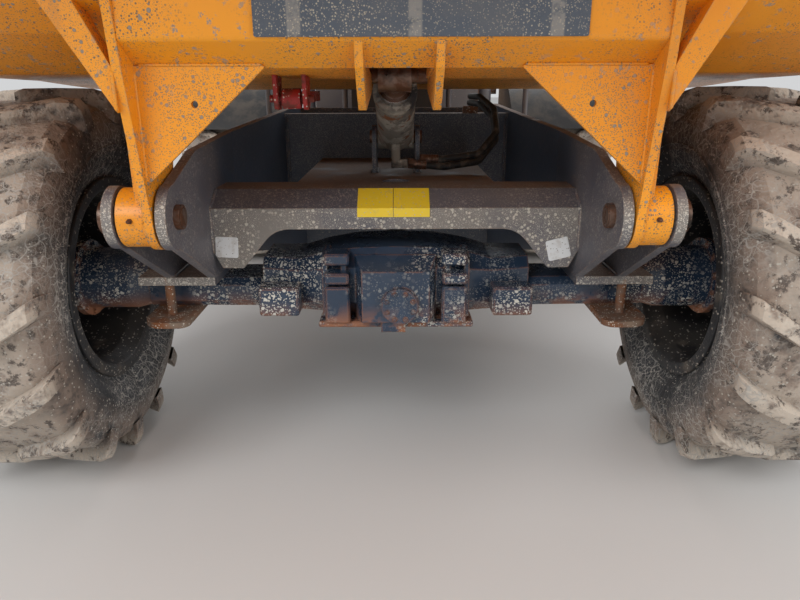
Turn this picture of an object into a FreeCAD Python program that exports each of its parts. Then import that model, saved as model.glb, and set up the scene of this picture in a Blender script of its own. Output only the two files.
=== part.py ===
import FreeCAD, Part
import math
import os

os.makedirs("parts", exist_ok=True)
V = FreeCAD.Vector

# Articulated site dumper with a front tipping skip. All sizes are in mm.
# x runs across the machine, y from the skip lip to the tail, z up from the ground.
# Places along y are drawn from the front axle and moved once, at export.

# Driving dimensions
wheel_base = 2600.0
wheel_radius = 575.0
tyre_width = 480.0
bead_radius = 292.0
frame_half = 525.0
side_plate = 25.0
arm_space = 101.0
pad_reach = 80.0
tyre_side_gap = 94.0
skip_overhang = 1330.0
tail_overhang = 770.0
seat_gap = 0.3
running_gap = 0.05

# Places that follow from them
axle_height = wheel_radius
tyre_top_z = axle_height + wheel_radius
inner_plate_x0 = frame_half
inner_plate_x1 = inner_plate_x0 + side_plate
outer_plate_x0 = inner_plate_x1 + arm_space
outer_plate_x1 = outer_plate_x0 + side_plate
pad_x1 = outer_plate_x1 + pad_reach
track_half = pad_x1 + tyre_side_gap + tyre_width / 2.0
rear_y = wheel_base
joint_ahead = 50.0
steer_y = wheel_base / 2.0 - joint_ahead
lip_y = -skip_overhang
jaw_y = rear_y + tail_overhang
export_shift_y = -(lip_y + jaw_y) / 2.0


def put(name, shape):
    moved = shape.copy()
    moved.translate(V(0, export_shift_y, 0))
    moved.exportStep("parts/" + name + ".step")


def box(x0, x1, y0, y1, z0, z1):
    return Part.makeBox(x1 - x0, y1 - y0, z1 - z0, V(x0, y0, z0))


def rod(p0, p1, radius):
    a = V(*p0)
    d = V(*p1).sub(a)
    return Part.makeCylinder(radius, d.Length, a, d)


def bar_x(x0, x1, y, z, radius):
    return rod((x0, y, z), (x1, y, z), radius)


def bar_z(x, y, z0, z1, radius):
    return rod((x, y, z0), (x, y, z1), radius)


def outline(rows, to_space):
    # closed wire from rows of (first, second, corner radius), with tangent arcs at the round corners
    corners = []
    count = len(rows)
    for i in range(count):
        here = to_space(rows[i][0], rows[i][1])
        radius = rows[i][2]
        if radius <= 0.0:
            corners.append((here, None, here))
            continue
        before = to_space(rows[i - 1][0], rows[i - 1][1])
        after = to_space(rows[(i + 1) % count][0], rows[(i + 1) % count][1])
        u = before.sub(here).normalize()
        w = after.sub(here).normalize()
        half = u.getAngle(w) / 2.0
        inward = u.add(w).normalize()
        start = here.add(V(u).multiply(radius / math.tan(half)))
        end = here.add(V(w).multiply(radius / math.tan(half)))
        middle = here.add(V(inward).multiply(radius / math.sin(half) - radius))
        corners.append((start, middle, end))
    edges = []
    for i in range(count):
        start, middle, end = corners[i]
        if middle is not None:
            edges.append(Part.Arc(start, middle, end).toShape())
        following = corners[(i + 1) % count][0]
        if end.distanceToPoint(following) > 0.001:
            edges.append(Part.makeLine(end, following))
    return Part.Wire(edges)


def plate_x(rows, x0, x1):
    # rows of (y, z, corner radius)
    return Part.Face(outline(rows, lambda a, b: V(x0, a, b))).extrude(V(x1 - x0, 0, 0))


def plate_y(rows, y0, y1):
    # rows of (x, z, corner radius)
    return Part.Face(outline(rows, lambda a, b: V(a, y0, b))).extrude(V(0, y1 - y0, 0))


def plate_z(rows, z0, z1):
    # rows of (x, y, corner radius)
    return Part.Face(outline(rows, lambda a, b: V(a, b, z0))).extrude(V(0, 0, z1 - z0))


def turned_x(rows):
    # rows of (x, radius, corner radius), turned round the x axis
    return Part.Face(outline(rows, lambda a, b: V(a, 0, b))).revolve(V(0, 0, 0), V(1, 0, 0), 360)


def mirror_x(shape):
    return shape.mirror(V(0, 0, 0), V(1, 0, 0))


def both(shape):
    return [shape, mirror_x(shape)]


def fuse(shapes):
    if len(shapes) == 1:
        return shapes[0]
    return shapes[0].multiFuse(shapes[1:]).removeSplitter()


def group(shapes):
    return Part.makeCompound(shapes)


def loft(sections):
    wires = []
    for points in sections:
        corners = [V(*p) for p in points]
        wires.append(Part.makePolygon(corners + [corners[0]]))
    return Part.makeLoft(wires, True, True)


def tube(points, bend, radius):
    # round bar or hose along straight runs joined by tangent arcs
    pts = [V(*p) for p in points]
    edges = []
    last = pts[0]
    for i in range(1, len(pts) - 1):
        u = pts[i - 1].sub(pts[i]).normalize()
        w = pts[i + 1].sub(pts[i]).normalize()
        half = u.getAngle(w) / 2.0
        inward = u.add(w).normalize()
        a = pts[i].add(V(u).multiply(bend / math.tan(half)))
        b = pts[i].add(V(w).multiply(bend / math.tan(half)))
        m = pts[i].add(V(inward).multiply(bend / math.sin(half) - bend))
        edges.append(Part.makeLine(last, a))
        edges.append(Part.Arc(a, m, b).toShape())
        last = b
    edges.append(Part.makeLine(last, pts[-1]))
    ring = Part.Wire([Part.makeCircle(radius, pts[0], pts[1].sub(pts[0]))])
    return Part.Wire(edges).makePipeShell([ring], True, False, 1)


# Tyres: flat sided carcass rings with deep slanted lugs, the point of the pattern leading at the front
tyre_half = tyre_width / 2.0
bead_half = tyre_half - 52.0
bead_rise = 26.0
tread_depth = 36.0
shoulder_drop = 75.0
shoulder_in = 62.0
carcass_sides = 32
flat_share = math.cos(math.pi / carcass_sides)
lug_count = 16
lug_half = 27.0
lug_slant = 66.0
lug_inner_x = 12.0
sidewall_radius = (bead_radius + wheel_radius) / 2.0 - 36.0

carcass_half = [
    (bead_half, (bead_radius + 1.0) / flat_share),
    (bead_half + 4.0, bead_radius + bead_rise),
    (tyre_half - 4.0, sidewall_radius),
    (tyre_half - 12.0, wheel_radius - shoulder_drop),
    (tyre_half - shoulder_in, wheel_radius - tread_depth),
]
carcass_section = carcass_half + [(-x, r) for x, r in reversed(carcass_half)]


def ring_point(x, radius, angle):
    return V(x, radius * math.sin(angle), -radius * math.cos(angle))


def sided_ring(section, sides):
    faces = []
    for i in range(sides):
        a0 = 2.0 * math.pi * i / sides
        a1 = 2.0 * math.pi * (i + 1) / sides
        for j in range(len(section)):
            x0, r0 = section[j]
            x1, r1 = section[(j + 1) % len(section)]
            corners = [
                ring_point(x0, r0, a0),
                ring_point(x1, r1, a0),
                ring_point(x1, r1, a1),
                ring_point(x0, r0, a1),
            ]
            faces.append(Part.Face(Part.makePolygon(corners + [corners[0]])))
    solid = Part.Solid(Part.makeShell(faces))
    if solid.Volume < 0.0:
        solid.reverse()
    return solid


lug_reach = lug_slant + lug_half
lug_top = math.sqrt(wheel_radius ** 2 - lug_reach ** 2)
lug_root = wheel_radius - shoulder_drop - 5.0
lug_lead = math.atan2(lug_reach, lug_top)


def tread_lug(side, angle):
    radial = V(0, math.sin(angle), -math.cos(angle))
    around = V(0, math.cos(angle), math.sin(angle))
    corners = []
    for x, t in (
        (tyre_half, -lug_slant - lug_half),
        (tyre_half, -lug_slant + lug_half),
        (lug_inner_x, lug_slant + lug_half),
        (lug_inner_x, lug_slant - lug_half),
    ):
        at = V(side * x, 0, 0).add(V(around).multiply(t)).add(V(radial).multiply(lug_root))
        corners.append(at)
    foot = Part.Face(Part.makePolygon(corners + [corners[0]]))
    return foot.extrude(V(radial).multiply(lug_top - lug_root))


lugs = []
for i in range(lug_count):
    step = 2.0 * math.pi / lug_count
    lugs.append(tread_lug(1.0, lug_lead + i * step))
    lugs.append(tread_lug(-1.0, lug_lead + (i + 0.5) * step))
tyre = fuse([sided_ring(carcass_section, carcass_sides)] + lugs)

# Rims: rolled steel barrel with a dished disc and the hub's end bolted through it
rim_half = bead_half + 5.0
rim_lip = 12.0
lip_radius = bead_radius + 24.0
barrel_radius = bead_radius - 40.0
disc_x = 45.0
disc_thick = 20.0
disc_round = 22.0
hub_depth = 90.0
hub_flange_radius = 130.0
hub_body_radius = 95.0
hub_out = 165.0
spindle_radius = 45.0
spindle_in = 110.0

rim_rows = [
    (-rim_half - rim_lip, lip_radius, 5.0),
    (-rim_half - rim_lip, bead_radius - 12.0, 10.0),
    (-rim_half + 48.0, barrel_radius + 6.0, 24.0),
    (disc_x - 12.0, barrel_radius, disc_round),
    (disc_x, hub_flange_radius + 20.0, disc_round),
    (disc_x, 60.0, 0.0),
    (disc_x + disc_thick, 60.0, 0.0),
    (disc_x + disc_thick, hub_flange_radius + 20.0, disc_round),
    (disc_x + disc_thick + 12.0, barrel_radius, disc_round),
    (rim_half - 48.0, barrel_radius + 6.0, 24.0),
    (rim_half + rim_lip, bead_radius - 12.0, 10.0),
    (rim_half + rim_lip, lip_radius, 5.0),
    (rim_half, lip_radius, 0.0),
    (rim_half, bead_radius + 0.5, 0.0),
    (-rim_half, bead_radius + 0.5, 0.0),
    (-rim_half, lip_radius, 0.0),
]
hub_rows = [
    (-hub_depth, 0.0, 0.0),
    (-hub_depth, hub_body_radius + 10.0, 8.0),
    (disc_x, hub_body_radius + 20.0, 0.0),
    (disc_x + disc_thick, hub_flange_radius, 0.0),
    (disc_x + disc_thick + 14.0, hub_flange_radius, 4.0),
    (disc_x + disc_thick + 14.0, hub_body_radius, 6.0),
    (hub_out - 14.0, hub_body_radius - 8.0, 12.0),
    (hub_out, 60.0, 8.0),
    (hub_out, 0.0, 0.0),
]
spindle_bore = bar_x(-hub_depth - 5.0, -hub_depth + spindle_in + 5.0, 0, 0, spindle_radius + running_gap)
rim = fuse([turned_x(rim_rows), turned_x(hub_rows)]).cut(spindle_bore)

wheel_places = [
    ("front_left", -1.0, 0.0),
    ("front_right", 1.0, 0.0),
    ("rear_left", -1.0, rear_y),
    ("rear_right", 1.0, rear_y),
]
for corner, side, place_y in wheel_places:
    corner_tyre = tyre.copy() if side > 0 else mirror_x(tyre)
    corner_rim = rim.copy() if side > 0 else mirror_x(rim)
    place = V(side * track_half, place_y, axle_height)
    corner_tyre.translate(place)
    corner_rim.translate(place)
    put("tyre_" + corner, corner_tyre)
    put("rim_" + corner, corner_rim)

# Front chassis: side plates rounded round the skip pivots, pads on the axle, a folded cross beam,
# a deck in the well and two end plates with the steering lugs
pivot_y = -443.0
pivot_z = axle_height + 279.0
pivot_pin_radius = 30.0
inner_lug_radius = 80.0
outer_lug_radius = 76.0
pad_top_z = axle_height + 46.0
pad_thick = 25.0
pad_half_y = 165.0
pad_bottom_z = pad_top_z - pad_thick
deck_z = axle_height + 293.0
deck_thick = 8.0
deck_half = 305.0
deck_front_y = -60.0
side_break_y = 150.0
side_top_z = deck_z + 147.0
end_y = steer_y - 250.0
end_half = 420.0
end_plate = 12.0
end_low_z = axle_height - 155.0
end_top_z = deck_z + 207.0
well_panel_y = end_y - 260.0
panel_plate = 10.0
stud_x = outer_plate_x1 - 5.0
stud_y = 150.0
stud_radius = 14.0


def lug_rows(radius):
    # the half round front of a plate, from above the pivot to below it
    return [
        (pivot_y, pivot_z + radius, 0.0),
        (pivot_y - radius, pivot_z + radius, radius),
        (pivot_y - radius, pivot_z - radius, radius),
        (pivot_y, pivot_z - radius, 0.0),
    ]


inner_rows = lug_rows(inner_lug_radius) + [
    (-pad_half_y, pad_top_z, 0.0),
    (side_break_y, pad_top_z, 0.0),
    (side_break_y, side_top_z, 0.0),
    (-250.0, side_top_z - 22.0, 60.0),
]
outer_rows = lug_rows(outer_lug_radius) + [
    (-pad_half_y, pad_top_z, 0.0),
    (120.0, pad_top_z, 0.0),
    (-60.0, pivot_z - 94.0, 60.0),
    (-330.0, pivot_z + 51.0, 30.0),
]
inner_side = plate_x(inner_rows, inner_plate_x0, inner_plate_x1)
outer_side = plate_x(outer_rows, outer_plate_x0, outer_plate_x1)
axle_pad = box(inner_plate_x0 + 5.0, pad_x1, -pad_half_y, pad_half_y, pad_bottom_z, pad_top_z)


def side_section(x, y, z0, z1):
    return [(x, y, z0), (x + side_plate, y, z0), (x + side_plate, y, z1), (x, y, z1)]


rear_side = loft([
    side_section(inner_plate_x0, side_break_y, pad_top_z, side_top_z),
    side_section(end_half, end_y, end_low_z, end_top_z),
])


def side_inner_x(y):
    return inner_plate_x0 + (end_half - inner_plate_x0) * (y - side_break_y) / (end_y - side_break_y)


side_right = fuse([inner_side, outer_side, axle_pad, rear_side])
side_right = side_right.cut(bar_x(inner_plate_x0 - 50.0, pad_x1, pivot_y, pivot_z, pivot_pin_radius))
for sy in (-stud_y, stud_y):
    side_right = side_right.cut(bar_z(stud_x, sy, pad_bottom_z - 20.0, pad_top_z + 20.0, stud_radius + seat_gap))

# cross beam: upright face with a rounded cut-out over the axle, folded back along its top to the deck
beam_face_y = -173.0
beam_plate = 12.0
beam_fold_z = deck_z - 43.0
beam_low_z = axle_height + 76.0
beam_rows = [
    (-inner_plate_x0, beam_fold_z, 0.0),
    (inner_plate_x0, beam_fold_z, 0.0),
    (inner_plate_x0, beam_fold_z - 125.0, 0.0),
    (500.0, beam_low_z, 6.0),
    (440.0, beam_low_z, 6.0),
    (345.0, beam_low_z + 114.0, 90.0),
    (-345.0, beam_low_z + 114.0, 90.0),
    (-440.0, beam_low_z, 6.0),
    (-500.0, beam_low_z, 6.0),
    (-inner_plate_x0, beam_fold_z - 125.0, 0.0),
]
beam_face = plate_y(beam_rows, beam_face_y, beam_face_y + beam_plate)
beam_top_rows = [
    (beam_face_y, beam_fold_z, 0.0),
    (-92.0, deck_z + 1.0, 10.0),
    (40.0, deck_z + 1.0, 0.0),
    (40.0, deck_z - 11.0, 0.0),
    (-89.0, deck_z - 11.0, 6.0),
    (beam_face_y + beam_plate, beam_fold_z - 7.0, 0.0),
]
beam_top = plate_x(beam_top_rows, -inner_plate_x0, inner_plate_x0)

# deck with a drain hole and a hand slot, and its turned down edges
drain_y = 67.0
drain_radius = 42.0
deck = box(-deck_half, deck_half, deck_front_y, well_panel_y + 5.0, deck_z - deck_thick, deck_z)
deck = deck.cut(bar_z(0, drain_y, deck_z - 20.0, deck_z + 10.0, drain_radius))
slot_rows = [
    (40.0, well_panel_y - 100.0, 20.0),
    (190.0, well_panel_y - 100.0, 20.0),
    (190.0, well_panel_y - 40.0, 20.0),
    (40.0, well_panel_y - 40.0, 20.0),
]
deck = deck.cut(plate_z(slot_rows, deck_z - 20.0, deck_z + 5.0))
deck_edges = both(box(deck_half - 20.0, deck_half, deck_front_y, well_panel_y + 5.0, deck_z - 70.0, deck_z))

# well panel with its top flange, and the two end plates with an open band for the steering ram
well_half = side_inner_x(well_panel_y) + 4.0
well_low_z = axle_height + 65.0
well_top_z = deck_z + 177.0
shaft_hole_radius = 90.0
well_panel = box(-well_half, well_half, well_panel_y, well_panel_y + panel_plate, well_low_z, well_top_z)
well_flange = box(-well_half + 6.0, well_half - 6.0, well_panel_y, well_panel_y + 60.0, well_top_z - 10.0, well_top_z)
shaft_way = rod((0, well_panel_y - 50.0, axle_height), (0, end_y + 50.0, axle_height), shaft_hole_radius)
well_panel = well_panel.cut(shaft_way)
ram_band_low_z = axle_height + 25.0
ram_band_top_z = axle_height + 170.0
end_lower = box(-end_half - 3.0, end_half + 3.0, end_y - end_plate, end_y, end_low_z, ram_band_low_z)
end_lower = end_lower.cut(shaft_way)
end_upper = box(-end_half - 3.0, end_half + 3.0, end_y - end_plate, end_y, ram_band_top_z, end_top_z - 15.0)

# steering lugs: a lower and an upper plate that taper to an eye
steer_pin_radius = 35.0
steer_eye_radius = 80.0
lug_root_half = 200.0
front_lug_plate = 35.0
rear_lug_plate = 40.0
lug_gap = 3.0
lower_lug_z = axle_height - 155.0
upper_lug_z = axle_height + 205.0


def steer_lug(root_y, z0, z1, pin_gap):
    arm_rows = [
        (-lug_root_half, root_y, 0.0),
        (lug_root_half, root_y, 0.0),
        (steer_eye_radius, steer_y, 0.0),
        (-steer_eye_radius, steer_y, 0.0),
    ]
    eye = bar_z(0, steer_y, z0, z1, steer_eye_radius)
    hole = bar_z(0, steer_y, z0 - 10.0, z1 + 10.0, steer_pin_radius + pin_gap)
    return fuse([plate_z(arm_rows, z0, z1), eye]).cut(hole)


front_lugs = [
    steer_lug(end_y - 10.0, lower_lug_z, lower_lug_z + front_lug_plate, 0.0),
    steer_lug(end_y - 10.0, upper_lug_z, upper_lug_z + front_lug_plate, 0.0),
]

# lugs that carry the tipping ram on the deck
ram_base_y = 320.0
ram_base_z = deck_z + 117.0
ram_pin_radius = 22.0
ram_lug_x0 = 66.0
ram_lug_x1 = 82.0
ram_lug_rows = [
    (ram_base_y - 38.0, ram_base_z + 38.0, 36.0),
    (ram_base_y - 58.0, deck_z - 1.0, 0.0),
    (ram_base_y + 84.0, deck_z - 1.0, 0.0),
    (ram_base_y + 38.0, ram_base_z + 38.0, 36.0),
]
ram_lug = plate_x(ram_lug_rows, ram_lug_x0, ram_lug_x1)
ram_lug = ram_lug.cut(bar_x(0, 100.0, ram_base_y, ram_base_z, ram_pin_radius))

# bracket plates for the steering ram, from the left side plate into the space behind the well panel
steer_base_x = -300.0
steer_base_y = end_y - 220.0
steer_ram_z = axle_height + 103.0
steer_eye_x = -200.0
steer_eye_y = steer_y + 90.0
steer_pin = 15.0
steer_head_half = 18.0
ear_gap = 4.0
ear_plate = 16.0
ear_z1 = steer_ram_z + steer_head_half + ear_gap
ear_z0 = steer_ram_z - steer_head_half - ear_gap
bracket_rows = [
    (-side_inner_x(steer_base_y) - 8.0, steer_base_y - 28.0, 0.0),
    (steer_base_x + 36.0, steer_base_y - 32.0, 30.0),
    (steer_base_x + 36.0, steer_base_y + 32.0, 30.0),
    (-side_inner_x(steer_base_y) - 8.0, steer_base_y + 60.0, 0.0),
]
steer_brackets = fuse([
    plate_z(bracket_rows, ear_z1, ear_z1 + ear_plate),
    plate_z(bracket_rows, ear_z0 - ear_plate, ear_z0),
]).cut(bar_z(steer_base_x, steer_base_y, ear_z0 - 40.0, ear_z1 + 40.0, steer_pin))

front_chassis = fuse(
    both(side_right)
    + [beam_face, beam_top, deck, well_panel, well_flange, end_lower, end_upper]
    + deck_edges
    + front_lugs
    + both(ram_lug)
    + [steer_brackets]
)
put("front_chassis", front_chassis)

# Pins in the front chassis: two skip pivots with end discs, the ram's base, the steering ram's base
# and the lower and upper steering pins
pivot_disc_radius = 42.0
pivot_pin = fuse([
    bar_x(inner_plate_x0 - 15.0, outer_plate_x1 + 24.0, pivot_y, pivot_z, pivot_pin_radius),
    bar_x(outer_plate_x1, outer_plate_x1 + 24.0, pivot_y, pivot_z, pivot_disc_radius),
])
put("skip_pivot_pins", group(both(pivot_pin)))
put("ram_base_pin", bar_x(-ram_lug_x1 - 8.0, ram_lug_x1 + 8.0, ram_base_y, ram_base_z, ram_pin_radius))
put("steer_base_pin", bar_z(steer_base_x, steer_base_y, ear_z0 - ear_plate - 10.0, ear_z1 + ear_plate + 14.0, steer_pin))
rear_lower_z = lower_lug_z + front_lug_plate + lug_gap
rear_upper_z = upper_lug_z - lug_gap - rear_lug_plate
steering_pins = [
    bar_z(0, steer_y, lower_lug_z - 15.0, rear_lower_z + rear_lug_plate + 8.0, steer_pin_radius),
    bar_z(0, steer_y, rear_upper_z - 8.0, upper_lug_z + front_lug_plate + 15.0, steer_pin_radius),
]
put("steering_pin", group(steering_pins))

# Axles: one casting with a chamfered middle housing, ribs, a round cover and tapering arms
hub_face_x = track_half - hub_depth
axle_low_z = axle_height - 70.0
housing_half = 215.0
housing_end = 400.0
nose_end_y = 290.0
axle_end_radius = 96.0
axle_arm_x = pad_x1 + 4.0
axle_seat_z = axle_height + 88.7


def axle_section(x, y0, y1, z0, z1, chamfer):
    return [
        (x, y0 + chamfer, z0),
        (x, y1 - chamfer, z0),
        (x, y1, z0 + chamfer),
        (x, y1, z1 - chamfer),
        (x, y1 - chamfer, z1),
        (x, y0 + chamfer, z1),
        (x, y0, z1 - chamfer),
        (x, y0, z0 + chamfer),
    ]


def axle_half():
    # housing sections out to the pads, where the arm is flat on top for the chassis pad
    housing = loft([
        axle_section(0.0, -190.0, 130.0, axle_low_z - 6.0, axle_height + 132.0, 50.0),
        axle_section(120.0, -188.0, 128.0, axle_low_z - 4.0, axle_height + 128.0, 48.0),
        axle_section(housing_half, -170.0, 120.0, axle_low_z, axle_height + 112.0, 42.0),
        axle_section(housing_end - 115.0, -142.0, 116.0, axle_low_z, axle_seat_z, 30.0),
        axle_section(housing_end, -110.0, 110.0, axle_low_z, axle_seat_z, 30.0),
    ])
    arm = loft([
        axle_section(housing_end - 10.0, -100.0, 100.0, axle_low_z, pad_bottom_z, 22.0),
        axle_section(axle_arm_x, -85.0, 85.0, axle_low_z, pad_bottom_z, 18.0),
    ])
    taper = Part.makeCone(78.0, axle_end_radius, 70.0, V(axle_arm_x - 10.0, 0, axle_height), V(1, 0, 0))
    taper = taper.cut(box(0, axle_arm_x, -200, 200, pad_bottom_z, axle_height + 200.0))
    end = bar_x(axle_arm_x + 60.0, hub_face_x - 0.5, 0, axle_height, axle_end_radius)
    flange = bar_x(hub_face_x - 34.0, hub_face_x - 14.0, 0, axle_height, axle_end_radius + 24.0)
    spindle = bar_x(hub_face_x - 20.0, hub_face_x + spindle_in, 0, axle_height, spindle_radius)
    return [housing, arm, taper, end, flange, spindle]


rib_places = [-205.0, -150.0, -62.0, 62.0, 150.0, 205.0]
rib_thick = 16.0
cover_x = 12.0
cover_z = axle_height - 13.0
cover_radius = 52.0
front_block = loft([
    [(-118, -180, axle_low_z - 8.0), (118, -180, axle_low_z - 8.0), (118, -180, axle_height + 118.0), (-118, -180, axle_height + 118.0)],
    [(-96, -250, axle_low_z + 4.0), (96, -250, axle_low_z + 4.0), (96, -250, axle_height + 84.0), (-96, -250, axle_height + 84.0)],
])
ribs = []
for rib_x in rib_places:
    rib_rows = [
        (-232.0 + abs(rib_x) * 0.14, axle_low_z + 2.0, 12.0),
        (-60.0, axle_low_z - 8.0, 12.0),
        (-60.0, axle_height + 138.0 - abs(rib_x) * 0.08, 12.0),
        (-214.0 + abs(rib_x) * 0.14, axle_height + 104.0, 20.0),
    ]
    ribs.append(plate_x(rib_rows, rib_x - rib_thick / 2.0, rib_x + rib_thick / 2.0))
cover = rod((cover_x, -266.0, cover_z), (cover_x, -240.0, cover_z), cover_radius)
low_lug_rows = [(-236.0, axle_low_z - 34.0, 14.0), (-200.0, axle_low_z - 34.0, 14.0), (-190.0, axle_low_z + 20.0, 0.0), (-244.0, axle_low_z + 20.0, 0.0)]
low_lug = plate_x(low_lug_rows, -42.0, 28.0)
nose = rod((0, 100.0, axle_height), (0, nose_end_y - 30.0, axle_height), 66.0)
nose_flange = rod((0, nose_end_y - 32.0, axle_height), (0, nose_end_y, axle_height), 58.0)
axle_halves = axle_half()
axle = fuse(axle_halves + [mirror_x(s) for s in axle_halves] + [front_block, cover, low_lug, nose, nose_flange] + ribs)
put("front_axle", axle)
rear_axle = axle.copy()
rear_axle.rotate(V(0, 0, 0), V(0, 0, 1), 180)
rear_axle.translate(V(0, rear_y, 0))
put("rear_axle", rear_axle)

# Axle clamps: studs through the pads into half oval plates beneath the axle arms
clamp_thick = 18.0
clamp_rows = [
    (stud_x - 68.0, -236.0, 34.0),
    (stud_x + 66.0, -236.0, 60.0),
    (stud_x + 66.0, 205.0, 20.0),
    (stud_x - 68.0, 205.0, 20.0),
]
clamp_plate = plate_z(clamp_rows, axle_low_z - clamp_thick, axle_low_z)
nut_radius = 24.0
studs = []
for sy in (-stud_y, stud_y):
    studs.append(bar_z(stud_x, sy, axle_low_z - clamp_thick, pad_top_z - seat_gap, stud_radius))
    studs.append(bar_z(stud_x, sy, axle_low_z - clamp_thick - 20.0, axle_low_z - clamp_thick, nut_radius))
front_clamp = fuse([clamp_plate] + studs)
put("front_axle_clamps", group(both(front_clamp)))

# Drive shafts: each runs from its axle's nose to a double yoke on the steering axis. The front yoke holds
# the cross by its upright trunnions, and the rear yoke turns with the cross
shaft_radius = 32.0
yoke_half = 34.0
yoke_plate = 14.0
yoke_reach = 62.0
trunnion_radius = 11.0


def yoke(toward, upright):
    # a disc and two ears round the steering axis; toward is -1 for the front shaft, 1 for the rear one
    disc_y0 = steer_y + toward * yoke_reach
    disc = rod((0, disc_y0, axle_height), (0, disc_y0 + toward * 16.0, axle_height), 44.0)
    ears = []
    for s in (-1.0, 1.0):
        low = s * yoke_half
        high = s * (yoke_half + yoke_plate)
        y0 = min(steer_y, disc_y0 + toward)
        y1 = max(steer_y, disc_y0 + toward)
        if upright:
            ear = box(-15.0, 15.0, y0, y1, axle_height + min(low, high), axle_height + max(low, high))
            knob = bar_z(0, steer_y, axle_height + min(low, high), axle_height + max(low, high), 20.0)
        else:
            ear = box(min(low, high), max(low, high), y0, y1, axle_height - 15.0, axle_height + 15.0)
            knob = bar_x(min(low, high), max(low, high), steer_y, axle_height, 20.0)
        ears.append(ear)
        ears.append(knob)
    return [disc] + ears


front_shaft = fuse(yoke(-1.0, True) + [
    rod((0, nose_end_y + seat_gap, axle_height), (0, nose_end_y + 20.0, axle_height), 56.0),
    rod((0, nose_end_y + 10.0, axle_height), (0, steer_y - yoke_reach - 10.0, axle_height), shaft_radius),
    rod((0, end_y - 180.0, axle_height), (0, end_y - 60.0, axle_height), shaft_radius + 10.0),
])
front_shaft = front_shaft.cut(bar_z(0, steer_y, axle_height - 80.0, axle_height + 80.0, trunnion_radius + running_gap))
put("front_prop_shaft", front_shaft)
rear_nose_y = rear_y - nose_end_y
rear_shaft = fuse(yoke(1.0, False) + [
    rod((0, rear_nose_y - 20.0, axle_height), (0, rear_nose_y - seat_gap, axle_height), 56.0),
    rod((0, steer_y + yoke_reach + 10.0, axle_height), (0, rear_nose_y - 10.0, axle_height), shaft_radius),
    bar_x(-yoke_half - 4.0, yoke_half + 4.0, steer_y, axle_height, trunnion_radius),
    bar_z(0, steer_y, axle_height - yoke_half - 12.0, axle_height + yoke_half + 12.0, trunnion_radius),
    bar_z(0, steer_y, axle_height - 18.0, axle_height + 18.0, 18.0),
])
put("rear_prop_shaft", rear_shaft)

# Hoses of the tipping ram, held by a clip on the well panel
hose_radius = 12.0
hose_start_y = 219.0
hose_end_y = well_panel_y + 40.0
hose_rows = [
    # x, share of the way back from the port to the clip, height over the deck
    (45.0, 0.0, 37.0),
    (160.0, 0.005, 25.0),
    (280.0, 0.077, 37.0),
    (350.0, 0.234, 102.0),
    (355.0, 0.447, 177.0),
    (320.0, 0.715, 217.0),
    (300.0, 1.0, 217.0),
]
hose_points = [(x, hose_start_y + share * (hose_end_y - hose_start_y), deck_z + h) for x, share, h in hose_rows]
second_points = [(x + 3.0, y + 8.0, z + 25.0) for x, y, z in hose_points]
second_points[0] = (85.0, hose_start_y + 6.0, deck_z + 50.0)
put("ram_hoses", group([tube(hose_points, 40.0, hose_radius), tube(second_points, 40.0, hose_radius)]))
clip_rows = [
    (270.0, well_top_z + seat_gap, 0.0),
    (330.0, well_top_z + seat_gap, 0.0),
    (330.0, deck_z + 217.0 - hose_radius - seat_gap, 0.0),
    (270.0, deck_z + 217.0 - hose_radius - seat_gap, 0.0),
]
put("hose_clip", plate_y(clip_rows, well_panel_y + 5.0, well_panel_y + 25.0))

# Skip: side outline and front outline give the outer form, and the same outlines less the wall hollow it
skip_half = track_half + 110.0
skip_wall = 10.0
floor_z = tyre_top_z + 20.0
side_round = 190.0
skip_rear_y = end_y
skip_back_rise = 830.0
floor_drop = 30.0
side_rows = [
    # y, height over the floor, corner radius, and the inner outline's shift along y and z
    (skip_rear_y - 300.0, -floor_drop, 0.0, 0.0, skip_wall),
    (450.0, -floor_drop, 0.0, 0.0, skip_wall),
    (150.0, 0.0, 0.0, 0.0, skip_wall),
    (-250.0, 12.0, 60.0, 2.0, skip_wall),
    (-480.0, 92.0, 60.0, 5.0, skip_wall - 1.0),
    (-700.0, 230.0, 0.0, 6.0, skip_wall - 1.0),
    (lip_y, 620.0, 0.0, 10.0, skip_wall),
    (-1000.0, 760.0, 40.0, 0.0, 60.0),
    (skip_rear_y, skip_back_rise, 0.0, -5.4, 60.0),
    (skip_rear_y - 40.0, 310.0, 200.0, -skip_wall, 0.0),
    (skip_rear_y - 120.0, 90.0, 120.0, -skip_wall + 2.0, 5.0),
]
outer_side_rows = [(y, floor_z + h, r) for y, h, r, sy, sz in side_rows]
inner_side_rows = [(y + sy, floor_z + h + sz, r) for y, h, r, sy, sz in side_rows]


def front_rows(inset):
    low = floor_z - floor_drop + inset
    high = floor_z + skip_back_rise + 200.0
    half = skip_half - inset
    return [(-half, high, 0.0), (half, high, 0.0), (half, low, side_round - inset), (-half, low, side_round - inset)]


outer_form = plate_x(outer_side_rows, -skip_half - 20.0, skip_half + 20.0)
outer_form = outer_form.common(plate_y(front_rows(0.0), lip_y - 50.0, skip_rear_y + 50.0))
inner_form = plate_x(inner_side_rows, -skip_half - 20.0, skip_half + 20.0)
inner_form = inner_form.common(plate_y(front_rows(skip_wall), lip_y - 50.0, skip_rear_y + 50.0))

# pocket in the floor that clears the tipping ram's head
pocket_half = 105.0
pocket_y0 = -330.0
pocket_y1 = 140.0
pocket_top_z = floor_z + 130.0
pocket_wall = 8.0
pocket_block = box(-pocket_half, pocket_half, pocket_y0, pocket_y1, floor_z - 70.0, pocket_top_z)
pocket_void = box(
    -pocket_half + pocket_wall,
    pocket_half - pocket_wall,
    pocket_y0 + pocket_wall,
    pocket_y1 - pocket_wall,
    floor_z - 70.0,
    pocket_top_z - pocket_wall,
)
skip_envelope = outer_form.cut(pocket_void)

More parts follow.
